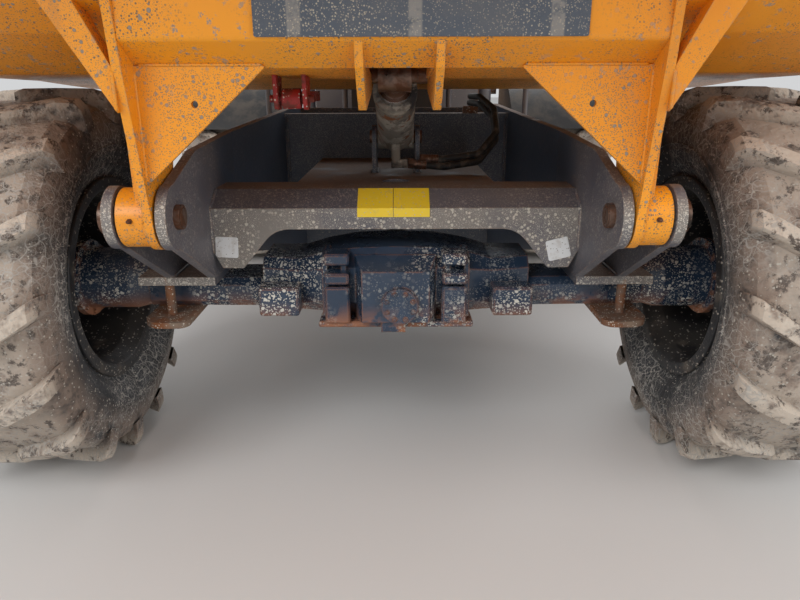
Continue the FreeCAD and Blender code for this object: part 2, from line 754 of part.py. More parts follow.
# stiffening rims along the sides and the back, and a wear strip along the lip
rim_out = 32.0
rim_depth = 62.0
rim_step = 6.0
side_slope = (skip_back_rise - 760.0) / (skip_rear_y + 1000.0)
side_rim_rows = [
    (-985.0, floor_z + 760.0 + 15.0 * side_slope - rim_step, 0.0),
    (skip_rear_y + rim_out, floor_z + skip_back_rise + rim_out * side_slope - rim_step, 0.0),
    (skip_rear_y + rim_out, floor_z + skip_back_rise - rim_depth, 12.0),
    (-1040.0, floor_z + 760.0 - rim_depth, 12.0),
]
side_rim = plate_x(side_rim_rows, skip_half - 4.0, skip_half + rim_out)
back_rim_rows = [
    (skip_rear_y - 6.0, floor_z + skip_back_rise - 2.0 * rim_step, 0.0),
    (skip_rear_y + rim_out, floor_z + skip_back_rise - 2.0 * rim_step, 8.0),
    (skip_rear_y + rim_out, floor_z + skip_back_rise - rim_depth - rim_step, 8.0),
    (skip_rear_y - 11.0, floor_z + skip_back_rise - rim_depth - rim_step, 0.0),
]
back_rim = plate_x(back_rim_rows, -skip_half - rim_step, skip_half + rim_step)
skip_tub = outer_form.cut(inner_form)
skip_tub = fuse([skip_tub, pocket_block.common(outer_form)] + both(side_rim) + [back_rim]).cut(pocket_void)
put("skip_tub", skip_tub)

# Skip underframe: folded front plate, bottom member and the two plates that carry the ram's eye
ram_eye_y = -140.0
ram_eye_z = floor_z + 10.0
arm_x0 = inner_plate_x1 + 6.0
arm_thick = 20.0
arm_x1 = arm_x0 + arm_thick
under_half = arm_x0 - 11.0
fold_y = -620.0
front_plate_rows = [
    (-505.0, floor_z + 20.0, 0.0),
    (fold_y, floor_z + 76.0, 16.0),
    (-760.0, floor_z + 255.0, 0.0),
    (-752.0, floor_z + 261.0, 0.0),
    (fold_y + 8.0, floor_z + 84.0, 6.0),
    (-505.0, floor_z + 30.0, 0.0),
]
front_plate = plate_x(front_plate_rows, -under_half, under_half)
member_rows = [
    (-505.0, floor_z + 20.0, 0.0),
    (-505.0, floor_z + 30.0, 0.0),
    (-380.0, floor_z + 52.0, 0.0),
    (-250.0, floor_z + 11.0, 0.0),
    (-250.0, floor_z + 1.0, 0.0),
    (-380.0, floor_z + 10.0, 20.0),
]
bottom_member = plate_x(member_rows, -under_half, under_half)
bracket_x0 = 62.0
bracket_x1 = 80.0
eye_plate_rows = [
    (-504.0, floor_z + 22.0, 0.0),
    (-504.0, floor_z - 45.0, 14.0),
    (-470.0, floor_z - 70.0, 20.0),
    (-380.0, floor_z - 60.0, 30.0),
    (-170.0, floor_z - 35.0, 20.0),
    (-92.0, floor_z - 22.0, 24.0),
    (-92.0, floor_z + 4.0, 0.0),
    (-380.0, floor_z + 30.0, 0.0),
]
eye_plate = plate_x(eye_plate_rows, bracket_x0, bracket_x1)
eye_plate = eye_plate.cut(bar_x(0, 100.0, ram_eye_y, ram_eye_z, ram_pin_radius))
underframe = fuse([front_plate, bottom_member] + both(eye_plate)).cut(skip_envelope)
put("skip_underframe", underframe)
put("ram_eye_pins", group(both(bar_x(bracket_x0, bracket_x1 + 12.0, ram_eye_y, ram_eye_z, ram_pin_radius))))
panel_half = 325.0
panel_rows = [
    (fold_y - 8.0, floor_z + 86.0, 0.0),
    (-760.0, floor_z + 255.0, 0.0),
    (-764.7, floor_z + 251.0, 0.0),
    (fold_y - 12.7, floor_z + 82.0, 0.0),
]
put("skip_front_panel", plate_x(panel_rows, -panel_half, panel_half))

# Skip arms: a plate rounded round its pivot, a doubler and boss outside, and a triangular web inside
arm_tip_radius = 78.0
boss_radius = 71.0
boss_x1 = outer_plate_x0 - 6.0
web_y = -520.0
web_plate = 12.0
web_inner_x = 275.0
arm_rows = [
    (pivot_y + arm_tip_radius, pivot_z, 0.0),
    (pivot_y + arm_tip_radius, pivot_z - arm_tip_radius, arm_tip_radius),
    (pivot_y - arm_tip_radius, pivot_z - arm_tip_radius, arm_tip_radius),
    (pivot_y - arm_tip_radius, pivot_z, 0.0),
    (fold_y, floor_z + 20.0, 40.0),
    (-665.0, floor_z + 130.0, 60.0),
    (-800.0, floor_z + 292.0, 0.0),
    (-700.0, floor_z + 230.0, 0.0),
    (-480.0, floor_z + 92.0, 0.0),
    (-250.0, floor_z + 12.0, 0.0),
    (-330.0, pivot_z + 146.0, 60.0),
]
doubler_rows = [
    (-500.0, floor_z - 30.0, 20.0),
    (-505.0, pivot_z, 0.0),
    (-395.0, pivot_z, 0.0),
    (-420.0, floor_z - 30.0, 20.0),
]
web_rows = [
    (arm_x0, pivot_z + 87.0, 0.0),
    (web_inner_x, floor_z + 20.0, 16.0),
    (arm_x0, floor_z + 20.0, 0.0),
]
web = plate_y(web_rows, web_y, web_y + web_plate)
web = web.cut(rod((368.0, web_y - 10.0, floor_z - 28.0), (368.0, web_y + 30.0, floor_z - 28.0), 13.0))
arm = fuse([
    plate_x(arm_rows, arm_x0, arm_x1),
    plate_x(doubler_rows, arm_x1 - 1.0, arm_x1 + 24.0),
    bar_x(arm_x1 - 1.0, boss_x1, pivot_y, pivot_z, boss_radius),
    web,
])
arm = arm.cut(bar_x(arm_x0 - 20.0, boss_x1 + 20.0, pivot_y, pivot_z, pivot_pin_radius + running_gap))
put("skip_arms", group(both(arm.cut(skip_envelope))))

# Outrigger braces: tapering box sections from the arms up and out to the skip's sides
brace_low_z = floor_z - 85.0
brace_top_z = floor_z + 155.0
brace_end_x = arm_x1 + 284.0
brace = loft([
    [
        (arm_x1 + 1.0, -600.0, brace_low_z),
        (arm_x1 + 1.0, -540.0, brace_low_z),
        (arm_x1 + 1.0, -540.0, brace_low_z + 65.0),
        (arm_x1 + 1.0, -600.0, brace_low_z + 65.0),
    ],
    [
        (brace_end_x, -640.0, brace_top_z),
        (brace_end_x, -580.0, brace_top_z),
        (brace_end_x, -580.0, brace_top_z + 40.0),
        (brace_end_x, -640.0, brace_top_z + 40.0),
    ],
])
put("skip_braces", group(both(brace.cut(skip_envelope))))

# Body prop: red bar with an eye at each end, hung under the skip floor on a pin between two lugs
prop_x = -250.0
prop_y = -330.0
prop_z = floor_z - 46.0
prop_lug = 10.0
prop_half = 30.0
prop_lug_rows = [
    (prop_y - 40.0, floor_z + 20.0, 0.0),
    (prop_y - 30.0, prop_z - 26.0, 22.0),
    (prop_y + 30.0, prop_z - 26.0, 22.0),
    (prop_y + 40.0, floor_z + 20.0, 0.0),
]
prop = fuse([
    plate_x(prop_lug_rows, prop_x - prop_half - prop_lug, prop_x - prop_half),
    plate_x(prop_lug_rows, prop_x + prop_half, prop_x + prop_half + prop_lug),
    bar_x(prop_x - prop_half - prop_lug - 14.0, prop_x + prop_half + prop_lug + 14.0, prop_y, prop_z, 9.0),
    bar_x(prop_x - 22.0, prop_x + 22.0, prop_y, prop_z, 24.0),
    box(prop_x - 20.0, prop_x + 20.0, prop_y, prop_y + 420.0, prop_z - 14.0, prop_z + 14.0),
]).cut(skip_envelope).cut(underframe)
put("body_prop", prop)

# Tipping ram: barrel with a gland ring, base eye and port elbow, one stage, and the rod with its head
barrel_radius_out = 60.0
stage_radius = 48.0
ram_rod_radius = 36.0
slide_gap = 0.1
ram_dy = ram_eye_y - ram_base_y
ram_dz = ram_eye_z - ram_base_z
ram_length = math.hypot(ram_dy, ram_dz)
ram_uy = ram_dy / ram_length
ram_uz = ram_dz / ram_length
barrel_end = ram_length - 100.0
gland_long = 30.0
ram_eye_radius = 42.0
port_s = 110.0
port_z = deck_z + 37.0
port_radius = 15.0


def along(s):
    return (0.0, ram_base_y + ram_uy * s, ram_base_z + ram_uz * s)


def ram_bar(s0, s1, radius):
    return rod(along(s0), along(s1), radius)


def ram_cross(s, half, radius):
    at = along(s)
    return bar_x(-half, half, at[1], at[2], radius)


port = along(port_s)
barrel_eye = fuse([ram_cross(0.0, 62.0, ram_eye_radius), ram_bar(0.0, 35.0, ram_eye_radius)])
ram_barrel = fuse([
    ram_bar(30.0, barrel_end, barrel_radius_out),
    ram_bar(barrel_end - gland_long, barrel_end, barrel_radius_out + 4.0),
    barrel_eye,
])
ram_barrel = ram_barrel.cut(ram_cross(0.0, 70.0, ram_pin_radius + running_gap))
ram_barrel = ram_barrel.cut(ram_bar(50.0, barrel_end + 5.0, stage_radius + slide_gap))
ram_barrel = fuse([
    ram_barrel,
    rod((0, port[1], port[2] - barrel_radius_out), (0, port[1], port_z), port_radius),
    bar_x(-port_radius, 38.0, port[1], port_z, port_radius),
])
put("ram_barrel", ram_barrel)
ram_stage = ram_bar(60.0, barrel_end + 25.0, stage_radius)
ram_stage = ram_stage.cut(ram_bar(80.0, barrel_end + 30.0, ram_rod_radius + slide_gap))
put("ram_stage", ram_stage)
ram_rod = fuse([
    ram_bar(90.0, ram_length, ram_rod_radius),
    ram_cross(ram_length, 45.0, 44.0),
    ram_cross(ram_length, bracket_x0 - seat_gap, ram_pin_radius),
])
put("ram_rod", ram_rod)

# Steering ram: barrel on the front chassis, rod with its own short pin between the rear chassis' ears
steer_dx = steer_eye_x - steer_base_x
steer_dy = steer_eye_y - steer_base_y
steer_length = math.hypot(steer_dx, steer_dy)
steer_barrel_radius = 35.0
steer_rod_radius = 17.0
steer_head_radius = 30.0
steer_barrel_end = steer_length - 239.0


def steer_along(s, lift):
    return (
        steer_base_x + steer_dx / steer_length * s,
        steer_base_y + steer_dy / steer_length * s,
        steer_ram_z + lift,
    )


def steer_bar(s0, s1, radius):
    return rod(steer_along(s0, 0.0), steer_along(s1, 0.0), radius)


def steer_cross(s, half, radius):
    return rod(steer_along(s, -half), steer_along(s, half), radius)


steer_barrel = fuse([
    steer_bar(10.0, 50.0, 21.0),
    steer_bar(50.0, steer_barrel_end, steer_barrel_radius),
    steer_cross(0.0, steer_head_half, steer_head_radius),
])
steer_barrel = steer_barrel.cut(steer_cross(0.0, 30.0, steer_pin + running_gap))
steer_barrel = steer_barrel.cut(steer_bar(70.0, steer_barrel_end + 10.0, steer_rod_radius + 2.0 * slide_gap))
put("steer_barrel", steer_barrel)
steer_rod = fuse([
    steer_bar(195.0, steer_length - 20.0, steer_rod_radius),
    steer_cross(steer_length, steer_head_half, steer_head_radius),
    steer_cross(steer_length, steer_head_half + ear_gap - seat_gap, steer_pin),
])
put("steer_rod", steer_rod)

# Rear chassis: head plate with the steering lugs, two rails notched over the axle, cross members,
# the bulkhead behind the seat with the cover's hinge lugs, and the beam that carries the roll bar
head_y = steer_y + 160.0
head_plate = 20.0
head_half = 360.0
rail_x0 = 300.0
rail_x1 = 330.0
rail_low_z = axle_height - 55.0
rail_top_z = axle_height + 245.0
rail_seat_z = axle_seat_z + seat_gap
notch_half = 180.0
tail_face_y = jaw_y - 60.0
bulkhead_y = rear_y - 200.0
seat_box_half = 480.0
bulkhead_half = seat_box_half
roll_half = seat_box_half + 80.0
bulkhead_plate = 10.0
cover_top_z = rail_top_z + 832.0
platform_z = rail_top_z + 95.0
head_rows = [
    (-head_half, axle_height - 155.0, 60.0),
    (head_half, axle_height - 155.0, 60.0),
    (head_half, platform_z - 15.0, 0.0),
    (-head_half, platform_z - 15.0, 0.0),
]
head = plate_y(head_rows, head_y, head_y + head_plate)
head = head.cut(rod((0, head_y - 50.0, axle_height), (0, head_y + 50.0, axle_height), shaft_hole_radius))
rail_rows = [
    (head_y + 15.0, rail_low_z, 0.0),
    (rear_y - 300.0, rail_low_z, 60.0),
    (rear_y - notch_half, rail_seat_z, 40.0),
    (rear_y + notch_half, rail_seat_z, 40.0),
    (rear_y + 300.0, rail_low_z, 60.0),
    (tail_face_y - 10.0, rail_low_z, 0.0),
    (tail_face_y - 10.0, rail_top_z, 0.0),
    (head_y + 15.0, rail_top_z, 0.0),
]
rails = both(plate_x(rail_rows, rail_x0, rail_x1))
cross_members = [
    # y start, y end, lower z, upper z
    (head_y + 490.0, head_y + 520.0, axle_height + 75.0, rail_top_z - 20.0),
    (rear_y + 300.0, rear_y + 330.0, axle_height + 125.0, rail_top_z - 20.0),
    (tail_face_y - 40.0, tail_face_y - 10.0, rail_low_z, rail_top_z),
]
members = [box(-rail_x0 - 10.0, rail_x0 + 10.0, y0, y1, z0, z1) for y0, y1, z0, z1 in cross_members]
bulkhead_rows = [
    (-bulkhead_half, rail_top_z - 20.0, 0.0),
    (bulkhead_half, rail_top_z - 20.0, 0.0),
    (bulkhead_half, cover_top_z - 12.0, 70.0),
    (-bulkhead_half, cover_top_z - 12.0, 70.0),
]
bulkhead = plate_y(bulkhead_rows, bulkhead_y, bulkhead_y + bulkhead_plate)
hinge_y = bulkhead_y + 18.0
hinge_z = cover_top_z
hinge_radius = 13.0
hinge_pin_radius = 7.0
hinge_lug_x0 = 300.0
hinge_lug_x1 = 330.0
hinge_lug = fuse([
    bar_x(hinge_lug_x0, hinge_lug_x1, hinge_y, hinge_z, hinge_radius),
    box(hinge_lug_x0, hinge_lug_x1, bulkhead_y, hinge_y, hinge_z - 52.0, hinge_z),
])
hinge_bore = bar_x(-400.0, 400.0, hinge_y, hinge_z, hinge_pin_radius)
roll_beam_y = bulkhead_y - 90.0
roll_beam = box(-roll_half - 80.0, roll_half + 80.0, roll_beam_y, bulkhead_y - 1.0, rail_top_z, platform_z - 15.3)
rear_lugs = [
    steer_lug(head_y + 5.0, rear_lower_z, rear_lower_z + rear_lug_plate, running_gap),
    steer_lug(head_y + 5.0, rear_upper_z, rear_upper_z + rear_lug_plate, running_gap),
]
ear_rows = [
    (steer_eye_x - 50.0, head_y + 2.0, 0.0),
    (steer_eye_x - 44.0, steer_eye_y - 40.0, 38.0),
    (steer_eye_x + 44.0, steer_eye_y - 40.0, 38.0),
    (steer_eye_x + 50.0, head_y + 2.0, 0.0),
]
ears = [plate_z(ear_rows, ear_z1, ear_z1 + ear_plate), plate_z(ear_rows, ear_z0 - ear_plate, ear_z0)]
rear_chassis = fuse([head] + rails + members + [bulkhead, roll_beam] + both(hinge_lug) + rear_lugs + ears)
put("rear_chassis", rear_chassis.cut(hinge_bore))
eye_caps = [
    bar_z(steer_eye_x, steer_eye_y, ear_z1 + ear_plate, ear_z1 + ear_plate + 12.0, 24.0),
    bar_z(steer_eye_x, steer_eye_y, ear_z0 - ear_plate - 12.0, ear_z0 - ear_plate, 24.0),
]
put("steer_eye_pins", group(eye_caps))

# Clamps under the rear rails: a saddle plate beneath the axle with two studs up beside each rail
rear_clamp_x = rail_x1 + 22.0
rear_stud_y = 146.0
saddle_y = rear_stud_y + 20.0
saddle = box(rail_x0 - 40.0, rear_clamp_x + 30.0, rear_y - saddle_y, rear_y + saddle_y, axle_low_z - 16.0, axle_low_z - seat_gap)
rear_studs = []
for sy in (-rear_stud_y, rear_stud_y):
    rear_studs.append(bar_z(rear_clamp_x, rear_y + sy, axle_low_z - 16.0, rail_seat_z + 40.0, 11.0))
    rear_studs.append(bar_x(rail_x1 + seat_gap, rear_clamp_x, rear_y + sy, rail_seat_z + 30.0, 11.0))
put("rear_axle_clamps", group(both(fuse([saddle] + rear_studs))))

# Tail weight: cast block with rounded corners round the rails' ends, and a towing jaw with a pin hole
weight_half = 600.0
weight_low_z = axle_height - 15.0
weight_top_z = rail_top_z + 75.0
weight_wing = 335.0
jaw_half = 60.0
jaw_plate = 20.0
jaw_low_z = axle_height + 25.0
jaw_top_z = axle_height + 125.0
hitch_y = jaw_y - 30.0
hitch_radius = 16.0
weight_rows = [
    (-weight_half, tail_face_y - 130.0, 20.0),
    (-weight_half, tail_face_y, 70.0),
    (weight_half, tail_face_y, 70.0),
    (weight_half, tail_face_y - 130.0, 20.0),
    (weight_wing, tail_face_y - 130.0, 10.0),
    (weight_wing, tail_face_y - 10.0 + seat_gap, 0.0),
    (-weight_wing, tail_face_y - 10.0 + seat_gap, 0.0),
    (-weight_wing, tail_face_y - 130.0, 10.0),
]
jaw_rows = [
    (-jaw_half, tail_face_y - 5.0, 0.0),
    (-jaw_half, jaw_y, 28.0),
    (jaw_half, jaw_y, 28.0),
    (jaw_half, tail_face_y - 5.0, 0.0),
]
tail_weight = fuse([
    plate_z(weight_rows, weight_low_z, weight_top_z),
    plate_z(jaw_rows, jaw_low_z, jaw_low_z + jaw_plate),
    plate_z(jaw_rows, jaw_top_z - jaw_plate, jaw_top_z),
]).cut(bar_z(0, hitch_y, jaw_low_z - 10.0, jaw_top_z + 10.0, hitch_radius))
put("tail_weight", tail_weight)
lamp_x = 505.0
lamp_rows = [
    (lamp_x - 62.0, weight_top_z - 66.0, 10.0),
    (lamp_x + 62.0, weight_top_z - 66.0, 10.0),
    (lamp_x + 62.0, weight_top_z - 18.0, 10.0),
    (lamp_x - 62.0, weight_top_z - 18.0, 10.0),
]
put("tail_lamps", group(both(plate_y(lamp_rows, tail_face_y + seat_gap, tail_face_y + 24.0))))

# Engine as one plain block on the rails
engine_y0 = bulkhead_y + 50.0
engine_y1 = tail_face_y - 160.0
put("engine_block", box(-240.0, 240.0, engine_y0, engine_y1, rail_top_z - 19.7, cover_top_z - 272.0))

# Engine cover: pressed shell hinged along its front top edge, with a slotted tail and slotted sides
cover_half = seat_box_half + 10.0
cover_wall = 6.0
cover_low_z = weight_top_z + seat_gap
cover_front_y = bulkhead_y + 12.0
cover_tail_y = tail_face_y - 10.0


def cover_rows(inset, foot):
    return [
        (cover_front_y - 2.0 * foot, cover_low_z - foot, 0.0),
        (cover_front_y - 2.0 * foot, cover_top_z - 12.0 - inset, 0.0),
        (cover_front_y + 28.0, cover_top_z - inset, 0.0),
        (rear_y + 480.0 - inset, cover_top_z - 72.0 - inset, 140.0 - inset),
        (cover_tail_y - inset, cover_top_z - 330.0 - inset, 160.0 - inset),
        (cover_tail_y - inset, cover_low_z - foot, 0.0),
    ]


def rounded_cover(inset, foot):
    half = cover_half - inset
    block = plate_x(cover_rows(inset, foot), -half, half)
    front_rounds = [
        (-half, cover_low_z - 50.0, 0.0),
        (half, cover_low_z - 50.0, 0.0),
        (half, cover_top_z - inset, 70.0 - inset),
        (-half, cover_top_z - inset, 70.0 - inset),
    ]
    return block.common(plate_y(front_rounds, cover_front_y - 40.0, cover_tail_y + 40.0))


engine_cover = rounded_cover(0.0, 0.0).cut(rounded_cover(cover_wall, 15.0))
slot_count = 9
slot_pitch = 30.0
slot_high = 13.0
grille_half = 300.0
grille_low_z = cover_low_z + 70.0
for i in range(slot_count):
    z = grille_low_z + i * slot_pitch
    engine_cover = engine_cover.cut(box(-grille_half, grille_half, cover_tail_y - 30.0, cover_tail_y + 10.0, z, z + slot_high))
side_slot_count = 7
for i in range(side_slot_count):
    y = rear_y + 80.0 + i * 44.0
    engine_cover = engine_cover.cut(box(-cover_half - 10.0, cover_half + 10.0, y, y + 16.0, cover_low_z + 240.0, cover_low_z + 400.0))
lug_window = box(hinge_lug_x0 - 10.0, hinge_lug_x1 + 10.0, bulkhead_y, hinge_y + 27.0, hinge_z - 62.0, hinge_z + 48.0)
for window in both(lug_window):
    engine_cover = engine_cover.cut(window)
knuckle = fuse([
    bar_x(hinge_lug_x1 + 12.0, hinge_lug_x1 + 42.0, hinge_y, hinge_z, hinge_radius),
    box(hinge_lug_x1 + 12.0, hinge_lug_x1 + 42.0, hinge_y, hinge_y + 62.0, hinge_z - 9.0, hinge_z),
])
knuckle = knuckle.cut(bar_x(hinge_lug_x0, 400.0, hinge_y, hinge_z, hinge_pin_radius + running_gap))
put("engine_cover", fuse([engine_cover] + both(knuckle)))
hinge_pin = bar_x(hinge_lug_x0 - 2.0, hinge_lug_x1 + 46.0, hinge_y, hinge_z, hinge_pin_radius)
put("cover_hinge_pins", group(both(hinge_pin)))

# Exhaust: pipe out between rail and cover, upright silencer and a tail pipe turned back
exhaust_x = cover_half + 105.0
exhaust_y = rear_y - 60.0
exhaust_z = rail_top_z + 33.0
exhaust_top_z = cover_top_z + 120.0
exhaust = fuse([
    tube([
        (240.3, exhaust_y, exhaust_z),
        (exhaust_x, exhaust_y, exhaust_z),
        (exhaust_x, exhaust_y, exhaust_top_z),
        (exhaust_x, exhaust_y + 140.0, exhaust_top_z + 60.0),
    ], 60.0, 27.0),
    bar_z(exhaust_x, exhaust_y, platform_z + 180.0, cover_top_z - 200.0, 62.0),
])
put("exhaust", exhaust)

# Driving place: floor plate over the rails with a front skirt and the box that carries the seat
platform_half = seat_box_half + 220.0
platform_plate = 15.0
platform_front_y = head_y + 35.0
seat_box_y0 = bulkhead_y - 370.0
seat_box_y1 = bulkhead_y - seat_gap
seat_box_top_z = platform_z + 315.0
seat_box_rows = [
    (-seat_box_half, platform_z - 15.0, 0.0),
    (seat_box_half, platform_z - 15.0, 0.0),
    (seat_box_half, seat_box_top_z, 40.0),
    (-seat_box_half, seat_box_top_z, 40.0),
]
floor_rows = [
    (-platform_half, platform_front_y, 60.0),
    (platform_half, platform_front_y, 60.0),
    (platform_half, roll_beam_y, 0.0),
    (-platform_half, roll_beam_y, 0.0),
]
platform = fuse([
    plate_z(floor_rows, platform_z - 14.7, platform_z),
    box(-rail_x0 + 2.0, rail_x0 - 2.0, platform_front_y + 5.0, roll_beam_y - 10.0, rail_top_z + 1.0, platform_z - 5.0),
    plate_y(seat_box_rows, seat_box_y0, seat_box_y1).cut(
        box(-seat_box_half + 40.0, seat_box_half - 40.0, seat_box_y0 + 12.0, seat_box_y1 + 10.0, platform_z + 12.0, seat_box_top_z - 14.0)
    ),
])
put("platform", platform)

# Mudguards: rolled sheets over the rear tyres with a turned down lip and an inner wall by the floor plate
guard_room = 40.0
guard_plate = 10.0
guard_lip = 22.0
guard_wall = 6.0
guard_x0 = platform_half + seat_gap
guard_x1 = track_half + tyre_half
guard_top_radius = wheel_radius + guard_room + guard_plate
guard_tail = 120.0


def guard_ring(x0, x1, inner_radius):
    ring = bar_x(x0, x1, rear_y, axle_height, guard_top_radius)
    if inner_radius > 0.0:
        ring = ring.cut(bar_x(x0 - 1.0, x1 + 1.0, rear_y, axle_height, inner_radius))
    reach = guard_top_radius + 50.0
    return ring.common(box(x0 - 1.0, x1 + 1.0, rear_y - reach, rear_y + guard_tail, platform_z - 15.0, axle_height + reach))


guard = fuse([
    guard_ring(guard_x0, guard_x1, wheel_radius + guard_room),
    guard_ring(guard_x1 - guard_plate, guard_x1, wheel_radius + guard_room - guard_lip),
    guard_ring(guard_x0, guard_x0 + guard_wall, 0.0),
])
put("rear_mudguards", group(both(guard)))

# Fuel tank on one side and oil tank on the other, under the floor plate, and the steps beside them
tank_x0 = head_half + 1.0
tank_x1 = platform_half - 10.0
tank_y0 = head_y + 60.0
tank_y1 = head_y + 490.0
tank_low_z = axle_height - 15.0
tank_rows = [
    (tank_x0, tank_y0, 40.0),
    (tank_x1, tank_y0, 40.0),
    (tank_x1, tank_y1, 40.0),
    (tank_x0, tank_y1, 40.0),
]
tank = plate_z(tank_rows, tank_low_z, platform_z - platform_plate)
filler = bar_x(tank_x1 - 5.0, tank_x1 + 24.0, tank_y1 - 70.0, platform_z - 110.0, 34.0)
put("side_tanks", group(both(fuse([tank, filler]))))
step_x0 = tank_x1 + seat_gap
step_y0 = tank_y0 + 50.0
step_y1 = step_y0 + 250.0
step_low_z = tank_low_z + 20.0
step_rows = [
    (step_x0, step_low_z + 80.0, 0.0),
    (step_x0, step_low_z, 0.0),
    (step_x0 + 150.0, step_low_z, 20.0),
    (step_x0 + 150.0, step_low_z + 50.0, 0.0),
    (step_x0 + 142.0, step_low_z + 50.0, 0.0),
    (step_x0 + 142.0, step_low_z + 8.0, 12.0),
    (step_x0 + 8.0, step_low_z + 8.0, 0.0),
    (step_x0 + 8.0, step_low_z + 80.0, 0.0),
]
step = plate_y(step_rows, step_y0, step_y1)
foot_slots = []
for i in range(4):
    slot_y = step_y0 + 22.0 + i * 56.0
    foot_slots.append(box(step_x0 + 30.0, step_x0 + 120.0, slot_y, slot_y + 34.0, step_low_z - 5.0, step_low_z + 15.0))
put("side_steps", group(both(step.cut(group(foot_slots)))))

# Console with the steering wheel, grab rails, pedals and the lever box beside the seat
console_y0 = head_y + 60.0
console_half = 230.0
console_rows = [
    (console_y0, platform_z + 0.3, 0.0),
    (console_y0 + 250.0, platform_z + 0.3, 20.0),
    (console_y0 + 170.0, platform_z + 415.0, 50.0),
    (console_y0 + 30.0, platform_z + 465.0, 40.0),
    (console_y0, platform_z + 440.0, 20.0),
]
console = plate_x(console_rows, -console_half, console_half)
put("console", console)
wheel_tilt_y = 100.0
wheel_tilt_z = 130.0
wheel_centre = (0.0, console_y0 + 230.0, platform_z + 570.0)
tilt_long = math.hypot(wheel_tilt_y, wheel_tilt_z)


def wheel_axis(s):
    return (0.0, wheel_centre[1] + wheel_tilt_y / tilt_long * s, wheel_centre[2] + wheel_tilt_z / tilt_long * s)


hand_radius = 185.0
grip_radius = 14.0
spoke_parts = []
for turn in (90.0, 210.0, 330.0):
    cx = hand_radius * math.cos(math.radians(turn))
    cr = hand_radius * math.sin(math.radians(turn))
    end = (cx, wheel_centre[1] + cr * wheel_tilt_z / tilt_long, wheel_centre[2] - cr * wheel_tilt_y / tilt_long)
    spoke_parts.append(rod(wheel_centre, end, 8.0))
steering_wheel = fuse([
    rod(wheel_axis(-190.0), wheel_axis(-10.0), 22.0),
    rod(wheel_axis(-24.0), wheel_axis(14.0), 36.0),
    Part.makeTorus(hand_radius, grip_radius, V(*wheel_centre), V(0, wheel_tilt_y, wheel_tilt_z)),
] + spoke_parts).cut(console)
put("steering_wheel", steering_wheel)
rail_hand_x = platform_half - 30.0
rail_hand_y = platform_front_y + 110.0
hand_rail = tube([
    (rail_hand_x, rail_hand_y, platform_z + 0.3),
    (rail_hand_x, rail_hand_y, platform_z + 480.0),
    (console_half + 40.0, rail_hand_y + 4.0, platform_z + 480.0),
    (console_half + 40.0, rail_hand_y, platform_z + 0.3),
], 60.0, 14.0)
put("hand_rails", group(both(hand_rail)))
pedal_places = [-150.0, 90.0, 165.0]
pedals = []
for pedal_x in pedal_places:
    foot_y = console_y0 + 252.0
    arm_part = box(pedal_x - 8.0, pedal_x + 8.0, foot_y, foot_y + 60.0, platform_z + 0.3, platform_z + 14.0)
    tread_rows = [
        (foot_y + 40.0, platform_z + 10.0, 0.0),
        (foot_y + 70.0, platform_z + 10.0, 0.0),
        (foot_y + 40.0, platform_z + 120.0, 6.0),
        (foot_y + 28.0, platform_z + 116.0, 6.0),
    ]
    pedals.append(fuse([arm_part, plate_x(tread_rows, pedal_x - 30.0, pedal_x + 30.0)]))
put("pedals", group(pedals))
lever_x = 330.0
lever_box_y0 = seat_box_y0 + 40.0
lever_rows = [
    (lever_box_y0, seat_box_top_z + 0.3, 0.0),
    (lever_box_y0 + 260.0, seat_box_top_z + 0.3, 0.0),
    (lever_box_y0 + 260.0, seat_box_top_z + 130.0, 30.0),
    (lever_box_y0, seat_box_top_z + 100.0, 40.0),
]
lever_parts = [plate_x(lever_rows, lever_x - 55.0, lever_x + 55.0)]
for shift in (-26.0, 26.0):
    lever_foot = (lever_x + shift, lever_box_y0 + 90.0, seat_box_top_z + 90.0)
    lever_head = (lever_x + shift, lever_box_y0 + 40.0, seat_box_top_z + 230.0)
    lever_parts.append(rod(lever_foot, lever_head, 7.0))
    lever_parts.append(Part.makeSphere(22.0, V(*lever_head)))
put("lever_box", fuse(lever_parts))

# Seat: metal runners, cushion and backrest
seat_half = 240.0
seat_front_y = seat_box_y0 + 10.0
seat_back_y = bulkhead_y - 100.0
runner_rows = [
    (seat_front_y + 40.0, seat_box_top_z + 0.3, 0.0),
    (bulkhead_y - 20.0, seat_box_top_z + 0.3, 0.0),
    (bulkhead_y - 20.0, seat_box_top_z + 60.0, 0.0),
    (seat_front_y + 40.0, seat_box_top_z + 60.0, 10.0),
]
seat_back_x = 120.0
seat_back_plate = 12.0
seat_back_y1 = bulkhead_y - 16.0
seat_back_y0 = seat_back_y1 - seat_back_plate
seat_frame = [
    plate_x(runner_rows, -seat_half + 40.0, seat_half - 40.0),
    box(-seat_back_x, seat_back_x, seat_back_y0, seat_back_y1, seat_box_top_z + 20.0, seat_box_top_z + 430.0),
]
put("seat_base", fuse(seat_frame))
cushion_rows = [
    (seat_front_y, seat_box_top_z + 60.3, 25.0),
    (seat_back_y, seat_box_top_z + 60.3, 10.0),
    (seat_back_y, seat_box_top_z + 145.0, 25.0),
    (seat_front_y, seat_box_top_z + 160.0, 45.0),
]
put("seat_cushion", plate_x(cushion_rows, -seat_half, seat_half))
backrest_rows = [
    (-seat_half, seat_box_top_z + 150.3, 40.0),
    (seat_half, seat_box_top_z + 150.3, 40.0),
    (seat_half - 20.0, seat_box_top_z + 560.0, 90.0),
    (-seat_half + 20.0, seat_box_top_z + 560.0, 90.0),
]
put("seat_backrest", plate_y(backrest_rows, seat_back_y + 2.0, seat_back_y0 - seat_gap))

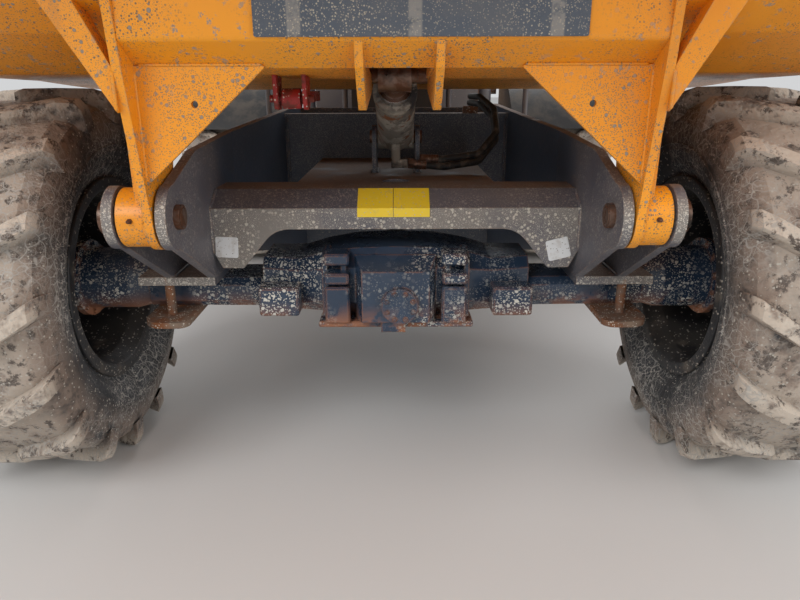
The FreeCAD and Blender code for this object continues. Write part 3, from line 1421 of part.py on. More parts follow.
# Roll bar: bent tube bolted to the beam by its feet, with a beacon on a side bracket
roll_y = bulkhead_y - 40.0
roll_top_z = platform_z + 2045.0
roll_tube_radius = 38.0
roll_bend = 150.0
roll = tube([
    (-roll_half, roll_y, platform_z - 5.0),
    (-roll_half, roll_y, roll_top_z),
    (roll_half, roll_y, roll_top_z),
    (roll_half, roll_y, platform_z - 5.0),
], roll_bend, roll_tube_radius)
foot_plate = box(roll_half - 60.0, roll_half + 60.0, roll_beam_y + 2.0, bulkhead_y - 3.0, platform_z - 15.0, platform_z)
gusset_rows = [
    (roll_half - roll_tube_radius - 40.0, platform_z - 1.0, 0.0),
    (roll_half - roll_tube_radius + 5.0, platform_z - 1.0, 0.0),
    (roll_half - roll_tube_radius + 5.0, platform_z + 120.0, 0.0),
]
gusset = plate_y(gusset_rows, roll_y - 5.0, roll_y + 5.0)
beacon_x = roll_half + roll_tube_radius + 70.0
beacon_z = roll_top_z - 420.0
beacon_bracket = box(roll_half + 20.0, beacon_x + 45.0, roll_y - 40.0, roll_y + 40.0, beacon_z - 8.0, beacon_z)
put("roll_bar", fuse([roll] + both(foot_plate) + both(gusset) + [beacon_bracket]))
beacon_base = bar_z(beacon_x, roll_y, beacon_z + 0.3, beacon_z + 28.0, 48.0)
beacon_dome = bar_z(beacon_x, roll_y, beacon_z + 25.0, beacon_z + 100.0, 42.0)
beacon_cap = Part.makeSphere(42.0, V(beacon_x, roll_y, beacon_z + 100.0))
put("beacon", fuse([beacon_base, beacon_dome, beacon_cap]))
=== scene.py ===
import math

import bmesh
import bpy
from mathutils import Matrix, Vector


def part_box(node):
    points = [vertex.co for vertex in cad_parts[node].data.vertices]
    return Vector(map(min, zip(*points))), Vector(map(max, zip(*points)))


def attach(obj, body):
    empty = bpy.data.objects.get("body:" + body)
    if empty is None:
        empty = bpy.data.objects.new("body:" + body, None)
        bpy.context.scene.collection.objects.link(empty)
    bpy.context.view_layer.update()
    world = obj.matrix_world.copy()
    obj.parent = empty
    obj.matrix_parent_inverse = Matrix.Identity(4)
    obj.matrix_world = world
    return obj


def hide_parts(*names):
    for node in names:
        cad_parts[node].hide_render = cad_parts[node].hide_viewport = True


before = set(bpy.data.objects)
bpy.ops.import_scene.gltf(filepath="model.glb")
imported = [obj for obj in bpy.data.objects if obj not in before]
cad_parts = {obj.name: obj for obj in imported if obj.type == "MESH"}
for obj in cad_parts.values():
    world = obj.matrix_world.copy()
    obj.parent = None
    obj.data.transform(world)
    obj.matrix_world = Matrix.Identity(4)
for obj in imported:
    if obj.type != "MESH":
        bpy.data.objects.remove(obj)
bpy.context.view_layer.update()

# Ground and light. The dumper stands on a plain pale floor, under a large soft lamp ahead and to its left,
# a weaker one on the right and an even sky, so that its underside is lit by what the floor throws back.
floor_half = 60.0
floor_mesh = bpy.data.meshes.new("ground")
floor_corners = [(x * floor_half, y * floor_half, 0.0) for x, y in ((-1, -1), (1, -1), (1, 1), (-1, 1))]
floor_mesh.from_pydata(floor_corners, [], [(0, 1, 2, 3)])
ground = bpy.data.objects.new("ground", floor_mesh)
bpy.context.collection.objects.link(ground)
ground_finish = bpy.data.materials.new("ground_finish")
ground_finish.use_nodes = True
ground_shader = ground_finish.node_tree.nodes["Principled BSDF"]
ground_shader.inputs["Base Color"].default_value = (0.62, 0.61, 0.6, 1)
ground_shader.inputs["Roughness"].default_value = 0.9
floor_mesh.materials.append(ground_finish)

sky = bpy.data.worlds.new("even_sky")
sky.use_nodes = True
sky.node_tree.nodes["Background"].inputs["Color"].default_value = (0.86, 0.87, 0.88, 1)
sky.node_tree.nodes["Background"].inputs["Strength"].default_value = 0.75
bpy.context.scene.world = sky


def soft_lamp(name, place, aim, size, power):
    lamp = bpy.data.lights.new(name, "AREA")
    lamp.size = size
    lamp.energy = power
    holder = bpy.data.objects.new(name, lamp)
    holder.location = place
    holder.rotation_euler = (Vector(aim) - Vector(place)).to_track_quat("-Z", "Y").to_euler()
    bpy.context.collection.objects.link(holder)


soft_lamp("lamp_ahead", (-4.5, -8.0, 6.5), (0.0, -1.0, 0.8), 5.0, 520.0)
soft_lamp("lamp_right", (7.0, -5.0, 4.0), (0.0, -0.5, 0.8), 5.0, 230.0)
soft_lamp("lamp_behind", (2.0, 8.0, 7.0), (0.0, 0.5, 1.0), 6.0, 380.0)
bpy.context.scene.view_settings.view_transform = "Standard"

# Camera, at the photograph's viewing angle: low ahead of the skip's lip, looking down under it.
photo_width = 800.0
sensor_width = 36.0
focal_pixels = 650.0
camera_place = (0.011, -3.015, 1.156)
pitch_down = 18.34
turn_left = -0.04
roll = -0.17
camera_data = bpy.data.cameras.new("photo_camera")
camera_data.sensor_width = sensor_width
camera_data.lens = focal_pixels * sensor_width / photo_width
camera = bpy.data.objects.new("photo_camera", camera_data)
camera.location = camera_place
heading = Matrix.Rotation(math.radians(turn_left), 4, "Z")
tilt = Matrix.Rotation(math.radians(90.0 - pitch_down), 4, "X")
lean = Matrix.Rotation(math.radians(roll), 4, "Z")
camera.rotation_euler = (heading @ tilt @ lean).to_euler()
bpy.context.collection.objects.link(camera)
bpy.context.scene.camera = camera


# Front chassis: plate steel, cut, folded and welded, in a graphite paint that is worn at its edges,
# dusty on its upper faces and splashed with dried concrete on its front. Its front faces are also made
# lighter with painted light, and the well's inner faces further back darker with a painted navy shadow.
class Finish:
    # a procedural material in the piece's own coordinates, built up coat by coat
    def __init__(self, name, roughness=0.5, metallic=0.0, base=(0.5, 0.5, 0.5)):
        self.material = bpy.data.materials.new(name)
        self.material.use_nodes = True
        self.tree = self.material.node_tree
        self.shader = self.tree.nodes["Principled BSDF"]
        self.shader.inputs["Roughness"].default_value = roughness
        self.shader.inputs["Metallic"].default_value = metallic
        self.shader.inputs["Base Color"].default_value = (*base, 1)
        self.place = self.node("ShaderNodeTexCoord").outputs
        self.colour = None
        self.rough = None
        self.height = None

    def node(self, kind, **settings):
        made = self.tree.nodes.new(kind)
        for key, value in settings.items():
            setattr(made, key, value)
        return made

    def feed(self, socket, value):
        if isinstance(value, bpy.types.NodeSocket):
            self.tree.links.new(value, socket)
        elif isinstance(value, tuple) and len(value) == 3 and socket.type == "RGBA":
            socket.default_value = (*value, 1)
        else:
            socket.default_value = value

    def math(self, operation, a, b=0.0):
        made = self.node("ShaderNodeMath", operation=operation)
        self.feed(made.inputs[0], a)
        self.feed(made.inputs[1], b)
        return made.outputs[0]

    def stretched(self, stretch):
        made = self.node("ShaderNodeMapping")
        self.feed(made.inputs["Vector"], self.place["Object"])
        made.inputs["Scale"].default_value = stretch
        return made.outputs[0]

    def cloud(self, scale, detail=4.0, roughness=0.6, stretch=(1.0, 1.0, 1.0), twist=0.0):
        made = self.node("ShaderNodeTexNoise")
        self.feed(made.inputs["Vector"], self.stretched(stretch))
        made.inputs["Scale"].default_value = scale
        made.inputs["Detail"].default_value = detail
        made.inputs["Roughness"].default_value = roughness
        made.inputs["Distortion"].default_value = twist
        return made.outputs["Fac"]

    def between(self, value, low, high, top=1.0):
        made = self.node("ShaderNodeMapRange", interpolation_type="SMOOTHSTEP")
        self.feed(made.inputs["Value"], value)
        made.inputs["From Min"].default_value = low
        made.inputs["From Max"].default_value = high
        made.inputs["To Max"].default_value = top
        return made.outputs["Result"]

    def specks(self, scale, share, size):
        # round spots in some of a cell pattern's cells, of random size
        cells = self.node("ShaderNodeTexVoronoi")
        self.feed(cells.inputs["Vector"], self.place["Object"])
        cells.inputs["Scale"].default_value = scale
        chance = self.node("ShaderNodeSeparateColor")
        self.feed(chance.inputs["Color"], cells.outputs["Color"])
        chosen = self.math("LESS_THAN", chance.outputs["Red"], share)
        reach = self.math("MULTIPLY", self.math("MULTIPLY", chance.outputs["Green"], size), chosen)
        return self.between(self.math("SUBTRACT", reach, cells.outputs["Distance"]), -0.04, 0.06)

    def cracks(self, scale, width, stretch=(1.0, 1.0, 1.0)):
        cells = self.node("ShaderNodeTexVoronoi", feature="DISTANCE_TO_EDGE")
        warp = self.node("ShaderNodeTexNoise")
        self.feed(warp.inputs["Vector"], self.place["Object"])
        warp.inputs["Scale"].default_value = scale * 0.35
        bent = self.node("ShaderNodeMix", data_type="VECTOR")
        bent.inputs[0].default_value = 0.09
        self.feed(bent.inputs[4], self.stretched(stretch))
        self.feed(bent.inputs[5], warp.outputs["Color"])
        self.feed(cells.inputs["Vector"], bent.outputs[1])
        cells.inputs["Scale"].default_value = scale
        return self.between(cells.outputs["Distance"], width, 0.0)

    def edges(self, width):
        # how near the surface is to an outer edge
        bevel = self.node("ShaderNodeBevel", samples=2)
        bevel.inputs["Radius"].default_value = width
        geometry = self.node("ShaderNodeNewGeometry")
        agree = self.node("ShaderNodeVectorMath", operation="DOT_PRODUCT")
        self.feed(agree.inputs[0], bevel.outputs["Normal"])
        self.feed(agree.inputs[1], geometry.outputs["Normal"])
        return self.between(agree.outputs["Value"], 0.99, 0.8)

    def along(self, source, axis, low, high):
        # share from low to high of one axis of the place or of the surface's direction
        parts = self.node("ShaderNodeSeparateXYZ")
        self.feed(parts.inputs[0], self.place[source])
        return self.between(parts.outputs[axis], low, high)

    def facing_up(self, low=0.35, high=0.9):
        return self.along("Normal", "Z", low, high)

    def over(self, mask, colour, roughness=None):
        # one more coat of colour where the mask is
        if self.colour is None:
            self.colour = tuple(self.shader.inputs["Base Color"].default_value)[:3]
        made = self.node("ShaderNodeMix", data_type="RGBA")
        self.feed(made.inputs[0], mask)
        self.feed(made.inputs[6], self.colour)
        self.feed(made.inputs[7], colour)
        self.colour = made.outputs[2]
        self.feed(self.shader.inputs["Base Color"], self.colour)
        if roughness is not None:
            if self.rough is None:
                self.rough = self.shader.inputs["Roughness"].default_value
            blend = self.node("ShaderNodeMix")
            self.feed(blend.inputs[0], mask)
            self.feed(blend.inputs[2], self.rough)
            self.feed(blend.inputs[3], roughness)
            self.rough = blend.outputs[0]
            self.feed(self.shader.inputs["Roughness"], self.rough)
        return self

    def rise(self, mask, share):
        part = self.math("MULTIPLY", mask, share)
        self.height = part if self.height is None else self.math("ADD", self.height, part)
        return self

    def bumped(self, depth, round_edge=0.003):
        bump = self.node("ShaderNodeBump")
        bump.inputs["Distance"].default_value = depth
        self.feed(bump.inputs["Height"], self.height)
        if round_edge > 0.0:
            soft = self.node("ShaderNodeBevel", samples=2)
            soft.inputs["Radius"].default_value = round_edge
            self.feed(bump.inputs["Normal"], soft.outputs["Normal"])
        self.feed(self.shader.inputs["Normal"], bump.outputs["Normal"])
        return self


def dress(finish, *names):
    for name in names:
        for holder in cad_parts[name].material_slots:
            holder.material = finish.material


concrete_cream = (0.56, 0.52, 0.45)
dust_brown = (0.27, 0.215, 0.165)
rust_brown = (0.22, 0.085, 0.035)


def chassis_paint(name, splash, well_shadow_strength):
    paint = Finish(name, roughness=0.44, base=(0.088, 0.088, 0.108))
    paint.over(paint.between(paint.cloud(2.2), 0.35, 0.7), (0.128, 0.122, 0.138))
    ahead = paint.math("MULTIPLY", paint.along("Normal", "Y", -0.5, -0.95), 0.95)
    # a lighter film on faces pointing forward: partly dried concrete splash, partly painted light that makes the front
    # faces lighter than the tops as if lit from ahead
    splash_film_and_painted_light = paint.math("MULTIPLY", ahead, paint.between(paint.cloud(4.0, 4.5), 0.25, 0.6, splash))
    paint.over(splash_film_and_painted_light, (0.27, 0.245, 0.21), 0.8)
    grime = paint.between(paint.cloud(5.0, stretch=(1.0, 1.0, 0.35)), 0.5, 0.75, 0.5)
    paint.over(grime, (0.17, 0.155, 0.15), 0.75)
    # painted shadow: the well's inner faces further back, under the skip, are darkened to a glossier navy as if in the
    # skip's shadow, and the concrete specks are thinned there
    painted_well_shadow = paint.math("MULTIPLY", paint.along("Object", "Y", -1.15, -1.0), well_shadow_strength)
    paint.over(painted_well_shadow, (0.045, 0.066, 0.105), 0.36)
    dust = paint.math("MULTIPLY", paint.facing_up(0.9, 0.99), paint.between(paint.cloud(7.0), 0.2, 0.5, 0.9))
    paint.over(dust, (0.17, 0.12, 0.09), 0.85)
    wear = paint.math("MULTIPLY", paint.edges(0.007), paint.between(paint.cloud(34.0), 0.42, 0.56))
    paint.over(wear, (0.3, 0.2, 0.14), 0.6)
    cluster = paint.between(paint.cloud(6.0), 0.62 - 0.42 * splash, 0.8 - 0.36 * splash)
    outside_well_shadow = paint.math("SUBTRACT", 1.0, paint.math("MULTIPLY", painted_well_shadow, 0.8))
    cluster = paint.math("MULTIPLY", cluster, paint.math("MULTIPLY", outside_well_shadow, paint.math("MAXIMUM", ahead, 0.3)))
    coarse = paint.math("MULTIPLY", paint.specks(120.0, 0.5 * splash, 0.6), cluster)
    fine = paint.math("MULTIPLY", paint.specks(330.0, 1.1 * splash, 0.62), cluster)
    spots = paint.math("MAXIMUM", coarse, fine)
    paint.over(spots, concrete_cream, 0.9)
    paint.rise(coarse, 0.7).rise(paint.cloud(420.0, 2.0), 0.12).rise(paint.cloud(9.0, 3.0), 0.5)
    return paint.bumped(0.0022)


# the front chassis carries the painted well shadow, the rear one none
front_paint = chassis_paint("front_chassis_paint", 0.75, 0.85)
rear_paint = chassis_paint("rear_chassis_paint", 0.3, 0.0)
dress(front_paint, "front_chassis")


def built_piece(name, build, finish, body, smooth=False):
    work = bmesh.new()
    build(work)
    mesh = bpy.data.meshes.new(name)
    work.normal_update()
    work.to_mesh(mesh)
    work.free()
    if smooth:
        mesh.shade_smooth()
    piece = bpy.data.objects.new(name, mesh)
    bpy.context.collection.objects.link(piece)
    mesh.materials.append(finish.material)
    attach(piece, body)
    return piece


def rounded_tile(work, base, half_wide, half_high, thick, corner=0.012, steps=4):
    # a thin plate with round corners and a small bevel round its face, its flat side on the base's xy plane
    rim = []
    for quarter in range(4):
        cx = (half_wide - corner) * (1 if quarter in (0, 3) else -1)
        cy = (half_high - corner) * (1 if quarter in (0, 1) else -1)
        for i in range(steps + 1):
            angle = math.radians(90.0 * quarter + 90.0 * i / steps)
            rim.append((cx, cy, math.cos(angle), math.sin(angle)))
    rings = []
    edge = min(thick * 0.5, corner * 0.6)
    for inset, z in ((0.0, 0.0), (0.0, thick - edge), (edge, thick)):
        reach = corner - inset
        rings.append([work.verts.new(base @ Vector((cx + ux * reach, cy + uy * reach, z))) for cx, cy, ux, uy in rim])
    count = len(rim)
    for low, high in zip(rings, rings[1:]):
        for i in range(count):
            work.faces.new((low[i], low[(i + 1) % count], high[(i + 1) % count], high[i]))
    work.faces.new(rings[-1])
    work.faces.new(rings[0][::-1])


beam_front = -1.193
front_up = Matrix(((1, 0, 0), (0, 0, -1), (0, 1, 0))).to_4x4()

plate_yellow = Finish("blank_yellow_plate", roughness=0.35, base=(0.88, 0.63, 0.035))
plate_yellow.over(plate_yellow.between(plate_yellow.cloud(30.0), 0.55, 0.75, 0.5), (0.5, 0.4, 0.16), 0.7)
plate_yellow.over(plate_yellow.specks(240.0, 0.25, 0.5), concrete_cream, 0.9)
plate_yellow.rise(plate_yellow.cloud(90.0), 0.4)
plate_yellow.bumped(0.0006, 0.0)


sheet_left = -0.108
sheet_right = 0.097
sheet_split = -0.006
sheet_bends = [(beam_front, 0.8), (beam_front, 0.8245), (-1.114, 0.8676)]
sheet_lift = 0.0022


def bent_sheet(work, x0, x1):
    # one panel of the sheet that is bent over the beam's fold, lifted off the steel by its own thickness
    outer = [(y - sheet_lift, z + sheet_lift * share) for (y, z), share in zip(sheet_bends, (0.0, 0.3, 1.0))]
    loops = []
    for x in (x0, x1):
        loops.append([work.verts.new((x, y, z)) for y, z in outer + sheet_bends[::-1]])
    count = len(loops[0])
    for i in range(count):
        work.faces.new((loops[0][i], loops[0][(i + 1) % count], loops[1][(i + 1) % count], loops[1][i]))
    for loop in loops:
        work.faces.new(loop)
    bmesh.ops.recalc_face_normals(work, faces=work.faces)


def beam_sheet(work):
    bent_sheet(work, sheet_left, sheet_split - 0.0008)
    bent_sheet(work, sheet_split + 0.0008, sheet_right)


built_piece("beam_sheet", beam_sheet, plate_yellow, "front_frame")
plate_white = Finish("blank_white_plate", roughness=0.4, base=(0.72, 0.74, 0.75))
plate_white.over(plate_white.between(plate_white.cloud(40.0), 0.5, 0.7, 0.5), (0.45, 0.42, 0.38), 0.8)
plate_white.over(plate_white.specks(260.0, 0.3, 0.5), (0.3, 0.28, 0.26), 0.9)
plate_white.rise(plate_white.cloud(90.0), 0.5)
plate_white.bumped(0.0006, 0.0)


def lashing_tiles(work):
    for centre_x, centre_z, lean in ((-0.4845, 0.7135, 3.0), (0.468, 0.706, -14.0)):
        turn = Matrix.Rotation(math.radians(lean), 4, "Y")
        place = Matrix.Translation((centre_x, beam_front - 0.0005, centre_z)) @ turn @ front_up
        rounded_tile(work, place, 0.0325, 0.0305, 0.002, 0.006)


built_piece("lashing_plates", lashing_tiles, plate_white, "front_frame")


def tube_rings(work, places, directions, radii, sides):
    rings = []
    for place, direction, radius in zip(places, directions, radii):
        turn = direction.to_track_quat("Z", "Y").to_matrix()
        ring = []
        for i in range(sides):
            angle = 2.0 * math.pi * i / sides
            out = Vector((radius * math.cos(angle), radius * math.sin(angle), 0.0))
            ring.append(work.verts.new(place + turn @ out))
        rings.append(ring)
    for low, high in zip(rings, rings[1:]):
        for i in range(sides):
            work.faces.new((low[i], low[(i + 1) % sides], high[(i + 1) % sides], high[i]))
    return rings


def weld_run(work, start, end, size=0.005):
    # a rippled bead laid along a joint
    start = Vector(start)
    run = Vector(end) - start
    ripples = max(3, int(run.length / (size * 0.9)))
    places = [start + run * (i / ripples) for i in range(ripples + 1)]
    radii = [size * (1.0 if i % 2 else 0.76) for i in range(ripples + 1)]
    radii[0] = radii[-1] = size * 0.3
    tube_rings(work, places, [run.normalized()] * len(places), radii, 6)


def weld_round(work, centre, radius, size=0.005, start=0.0, sweep=360.0):
    # a bead round a boss whose axis lies across the machine
    ripples = max(12, int(math.radians(sweep) * radius / (size * 0.9)))
    places = []
    directions = []
    for i in range(ripples + 1):
        angle = math.radians(start + sweep * i / ripples)
        places.append(Vector(centre) + Vector((0, math.cos(angle), math.sin(angle))) * radius)
        directions.append(Vector((0, -math.sin(angle), math.cos(angle))))
    radii = [size * (1.0 if i % 2 else 0.76) for i in range(ripples + 1)]
    tube_rings(work, places, directions, radii, 6)


def chassis_welds(work):
    fold = (beam_front + 0.002, 0.826)
    for side in (-1.0, 1.0):
        beam_x = side * 0.524
        weld_run(work, (beam_x, beam_front - 0.001, 0.704), (beam_x, beam_front - 0.001, 0.822), 0.006)
        weld_run(work, (beam_x, *fold), (beam_x, -1.114, 0.868), 0.006)
        weld_run(work, (side * 0.442, -0.282, 0.646), (side * 0.442, -0.282, 1.03), 0.006)
        weld_run(work, (side * 0.551, -1.183, 0.623), (side * 0.551, -0.872, 0.623), 0.006)
        for plate_x in (0.65, 0.677):
            weld_run(work, (side * plate_x, -1.183, 0.623), (side * plate_x, -0.9, 0.623), 0.006)
    for x in (0.065, 0.083, -0.065, -0.083):
        weld_run(work, (x, -0.755, 0.869), (x, -0.618, 0.869), 0.005)


built_piece("chassis_weld_beads", chassis_welds, front_paint, "front_frame", smooth=True)

# Axles: iron castings with a black gloss that has chipped to rust on the low front, under a heavy spatter
# of concrete. Hex bolts hold the housing's halves and the round cover.
def axle_paint(name, splash):
    paint = Finish(name, roughness=0.22, base=(0.02, 0.038, 0.07))
    paint.over(paint.between(paint.cloud(3.0), 0.4, 0.7), (0.045, 0.07, 0.112), 0.32)
    low = paint.along("Object", "Z", 0.57, 0.47)
    chipped = paint.math("MULTIPLY", paint.between(paint.cloud(11.0), 0.42, 0.52), low)
    paint.over(chipped, (0.3, 0.125, 0.06), 0.8)
    wear = paint.math("MULTIPLY", paint.edges(0.009), paint.between(paint.cloud(20.0), 0.38, 0.52))
    paint.over(wear, (0.28, 0.12, 0.06), 0.75)
    cluster = paint.between(paint.cloud(4.0, 3.0), 0.58 - 0.2 * splash, 0.78 - 0.15 * splash)
    coarse = paint.math("MULTIPLY", paint.specks(90.0, 0.5 * splash, 0.6), cluster)
    fine = paint.math("MULTIPLY", paint.specks(240.0, 0.8 * splash, 0.62), cluster)
    spots = paint.math("MAXIMUM", coarse, fine)
    paint.over(spots, (0.64, 0.62, 0.56), 0.9)
    paint.rise(spots, 0.8).rise(paint.cloud(180.0, 3.0), 0.2).rise(paint.cloud(14.0), 0.6)
    return paint.bumped(0.003, 0.004)


front_axle_paint = axle_paint("front_axle_paint", 0.95)
rear_axle_paint = axle_paint("rear_axle_paint", 0.45)
dress(front_axle_paint, "front_axle")
dress(rear_axle_paint, "rear_axle")


def hex_bolt(work, place, along, radius, head, washer=True):
    # six sided head with a domed top on a round washer
    turn = Vector(along).to_track_quat("Z", "Y").to_matrix().to_4x4()
    base = Matrix.Translation(place) @ turn
    if washer:
        rim = radius * 1.55
        add_ring_stack(work, base, [(rim, 0.0), (rim, head * 0.18), (radius * 1.45, head * 0.24)], 16)
    add_ring_stack(work, base, [(radius, 0.0), (radius, head * 0.86), (radius * 0.84, head)], 6)


def add_ring_stack(work, base, profile, sides, cap=True):
    rings = []
    for radius, z in profile:
        ring = []
        for i in range(sides):
            angle = 2.0 * math.pi * i / sides
            spot = Vector((radius * math.cos(angle), radius * math.sin(angle), z))
            ring.append(work.verts.new(base @ spot))
        rings.append(ring)
    for low, high in zip(rings, rings[1:]):
        for i in range(sides):
            work.faces.new((low[i], low[(i + 1) % sides], high[(i + 1) % sides], high[i]))
    if cap:
        work.faces.new(rings[-1])


bolt_steel = Finish("greasy_bolt_steel", roughness=0.5, metallic=0.6, base=(0.16, 0.12, 0.1))
bolt_steel.over(bolt_steel.between(bolt_steel.cloud(60.0), 0.4, 0.6), (0.2, 0.09, 0.05), 0.8)
bolt_steel.rise(bolt_steel.cloud(260.0, 3.0), 1.0)
bolt_steel.bumped(0.0008, 0.0)
axle_z = 0.575
front_axle_y = -1.02
rear_axle_y = 1.58


def housing_bolts(axle_y, ahead):
    def build(work):
        for i in range(8):
            angle = math.radians(22.5 + 45.0 * i)
            cover_x = 0.012 * -ahead + 0.04 * math.cos(angle)
            cover_z = axle_z - 0.013 + 0.04 * math.sin(angle)
            hex_bolt(work, (cover_x, axle_y + ahead * 0.266, cover_z), (0, ahead, 0), 0.0055, 0.006)
        for side in (-1.0, 1.0):
            for i in range(12):
                angle = math.radians(15.0 + 30.0 * i)
                place = (side * 0.967, axle_y + 0.109 * math.cos(angle), axle_z + 0.109 * math.sin(angle))
                hex_bolt(work, place, (-side, 0, 0), 0.008, 0.009)
    return build


built_piece("front_axle_bolts", housing_bolts(front_axle_y, -1.0), front_axle_paint, "front_frame")
built_piece("rear_axle_bolts", housing_bolts(rear_axle_y, 1.0), rear_axle_paint, "rear_frame")


def housing_pads(work):
    # thick cast pads on each side of the round cover, one more beyond them, and the flange along the foot
    forward = Matrix.Rotation(math.radians(90.0), 4, "X")
    pads = [
        # distance from the middle, half width, lower and upper edge, how far it stands forward
        (0.168, 0.036, 0.497, 0.608, 0.08),
        (0.168, 0.036, 0.618, 0.65, 0.09),
        (0.168, 0.036, 0.668, 0.702, 0.07),
        (0.338, 0.058, 0.516, 0.602, 0.066),
    ]
    for side in (-1.0, 1.0):
        for x, half_wide, low, high, reach in pads:
            base = Matrix.Translation((side * x, -1.168, (low + high) / 2.0)) @ forward
            rounded_tile(work, base, half_wide, (high - low) / 2.0, reach, 0.009)
    foot = Matrix.Translation((0.0, -1.15, 0.492)) @ forward
    rounded_tile(work, foot, 0.225, 0.009, 0.088, 0.006)


built_piece("front_axle_pads", housing_pads, front_axle_paint, "front_frame")

# Axle clamps, pins and drive shafts: bare steel that has gone brown, wet with grease where it turns.
rusty_steel = Finish("rusty_steel", roughness=0.72, metallic=0.25, base=(0.17, 0.115, 0.085))
rusty_steel.over(rusty_steel.between(rusty_steel.cloud(18.0), 0.4, 0.62), rust_brown, 0.85)
rusty_steel.over(rusty_steel.between(rusty_steel.cloud(7.0), 0.5, 0.7, 0.7), dust_brown, 0.9)
rusty_steel.over(rusty_steel.specks(190.0, 0.4, 0.55), concrete_cream, 0.9)
rusty_steel.rise(rusty_steel.cloud(160.0), 1.0)
rusty_steel.bumped(0.002)
dress(rusty_steel, "front_axle_clamps", "rear_axle_clamps", "steer_eye_pins", "cover_hinge_pins", "hose_clip")
pin_finish = Finish("greasy_pin", roughness=0.38, metallic=0.75, base=(0.2, 0.13, 0.1))
pin_finish.over(pin_finish.between(pin_finish.cloud(26.0), 0.42, 0.6), (0.15, 0.07, 0.04), 0.65)
pin_finish.over(pin_finish.between(pin_finish.cloud(9.0), 0.55, 0.7), (0.03, 0.024, 0.02), 0.25)
pin_finish.rise(pin_finish.cloud(120.0), 1.0)
pin_finish.bumped(0.0012)
dress(pin_finish, "skip_pivot_pins", "ram_base_pin", "ram_eye_pins", "steering_pin", "steer_base_pin")


def grease_nipple(work, place, along):
    turn = Vector(along).to_track_quat("Z", "Y").to_matrix().to_4x4()
    base = Matrix.Translation(place) @ turn
    add_ring_stack(work, base, [(0.0065, -0.004), (0.0065, 0.005), (0.0058, 0.006)], 6)
    tip = [(0.0035, 0.006), (0.0035, 0.009), (0.0048, 0.011), (0.0042, 0.014), (0.0018, 0.016)]
    add_ring_stack(work, base, tip, 10)


def pin_ends(work):
    # keeper bolt and nipple in the end of each skip pivot pin
    for side in (-1.0, 1.0):
        end_x = side * 0.7
        hex_bolt(work, (end_x, pivot_row_y + 0.021, pivot_row_z + 0.02), (side, 0, 0), 0.007, 0.008)
        grease_nipple(work, (end_x, pivot_row_y, pivot_row_z), (side, 0, 0))
        inward = Vector((-side, 0, 0)).to_track_quat("Z", "Y").to_matrix().to_4x4()
        end_disc = Matrix.Translation((side * 0.51, pivot_row_y, pivot_row_z)) @ inward
        add_ring_stack(work, end_disc, [(0.024, -0.002), (0.024, 0.0015), (0.02, 0.003)], 24)


pivot_row_y = -1.463
pivot_row_z = 0.854
built_piece("pivot_pin_ends", pin_ends, pin_finish, "front_frame")
shaft_paint = Finish("shaft_paint", roughness=0.55, metallic=0.2, base=(0.07, 0.065, 0.06))
shaft_paint.over(shaft_paint.between(shaft_paint.cloud(12.0), 0.45, 0.65), dust_brown, 0.85)
shaft_paint.rise(shaft_paint.cloud(90.0), 1.0)
shaft_paint.bumped(0.001)
dress(shaft_paint, "front_prop_shaft", "rear_prop_shaft")

# Tyres: moulded rubber with deep slanted lugs, round shouldered, the gaps between lugs packed with dried mud.
# Each hides the solid with flat facets and keeps its lug places, width and height.
tyre_low, tyre_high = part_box("tyre_front_right")
tyre_half = (tyre_high[0] - tyre_low[0]) / 2.0
tyre_radius = (tyre_high[2] - tyre_low[2]) / 2.0
lug_count = 16
lug_slant = 0.066
lug_half = 0.027
lug_lead = math.atan2(0.093, math.sqrt(tyre_radius ** 2 - 0.093 ** 2))
round_steps = 96

carcass_profile = [
    (tyre_half - 0.052, 0.294),
    (tyre_half - 0.046, 0.322),
    (tyre_half - 0.022, 0.352),
    (tyre_half - 0.006, 0.392),
    (tyre_half - 0.004, 0.432),
    (tyre_half - 0.01, 0.475),
    (tyre_half - 0.026, 0.508),
    (tyre_half - 0.06, 0.53),
    (tyre_half * 0.4, 0.539),
    (0.0, 0.541),
]


def wheel_circle(work, x, radius):
    turns = [2.0 * math.pi * i / round_steps for i in range(round_steps)]
    return [work.verts.new((x, radius * math.sin(a), -radius * math.cos(a))) for a in turns]


def join_circles(work, rings):
    for a, b in zip(rings, rings[1:]):
        for i in range(round_steps):
            work.faces.new((a[i], a[(i + 1) % round_steps], b[(i + 1) % round_steps], b[i]))


def carcass(work):
    rows = carcass_profile + [(-x, r) for x, r in reversed(carcass_profile[:-1])]
    rings = []
    for x, radius in rows:
        rings.append(wheel_circle(work, x, radius))
    join_circles(work, rings)


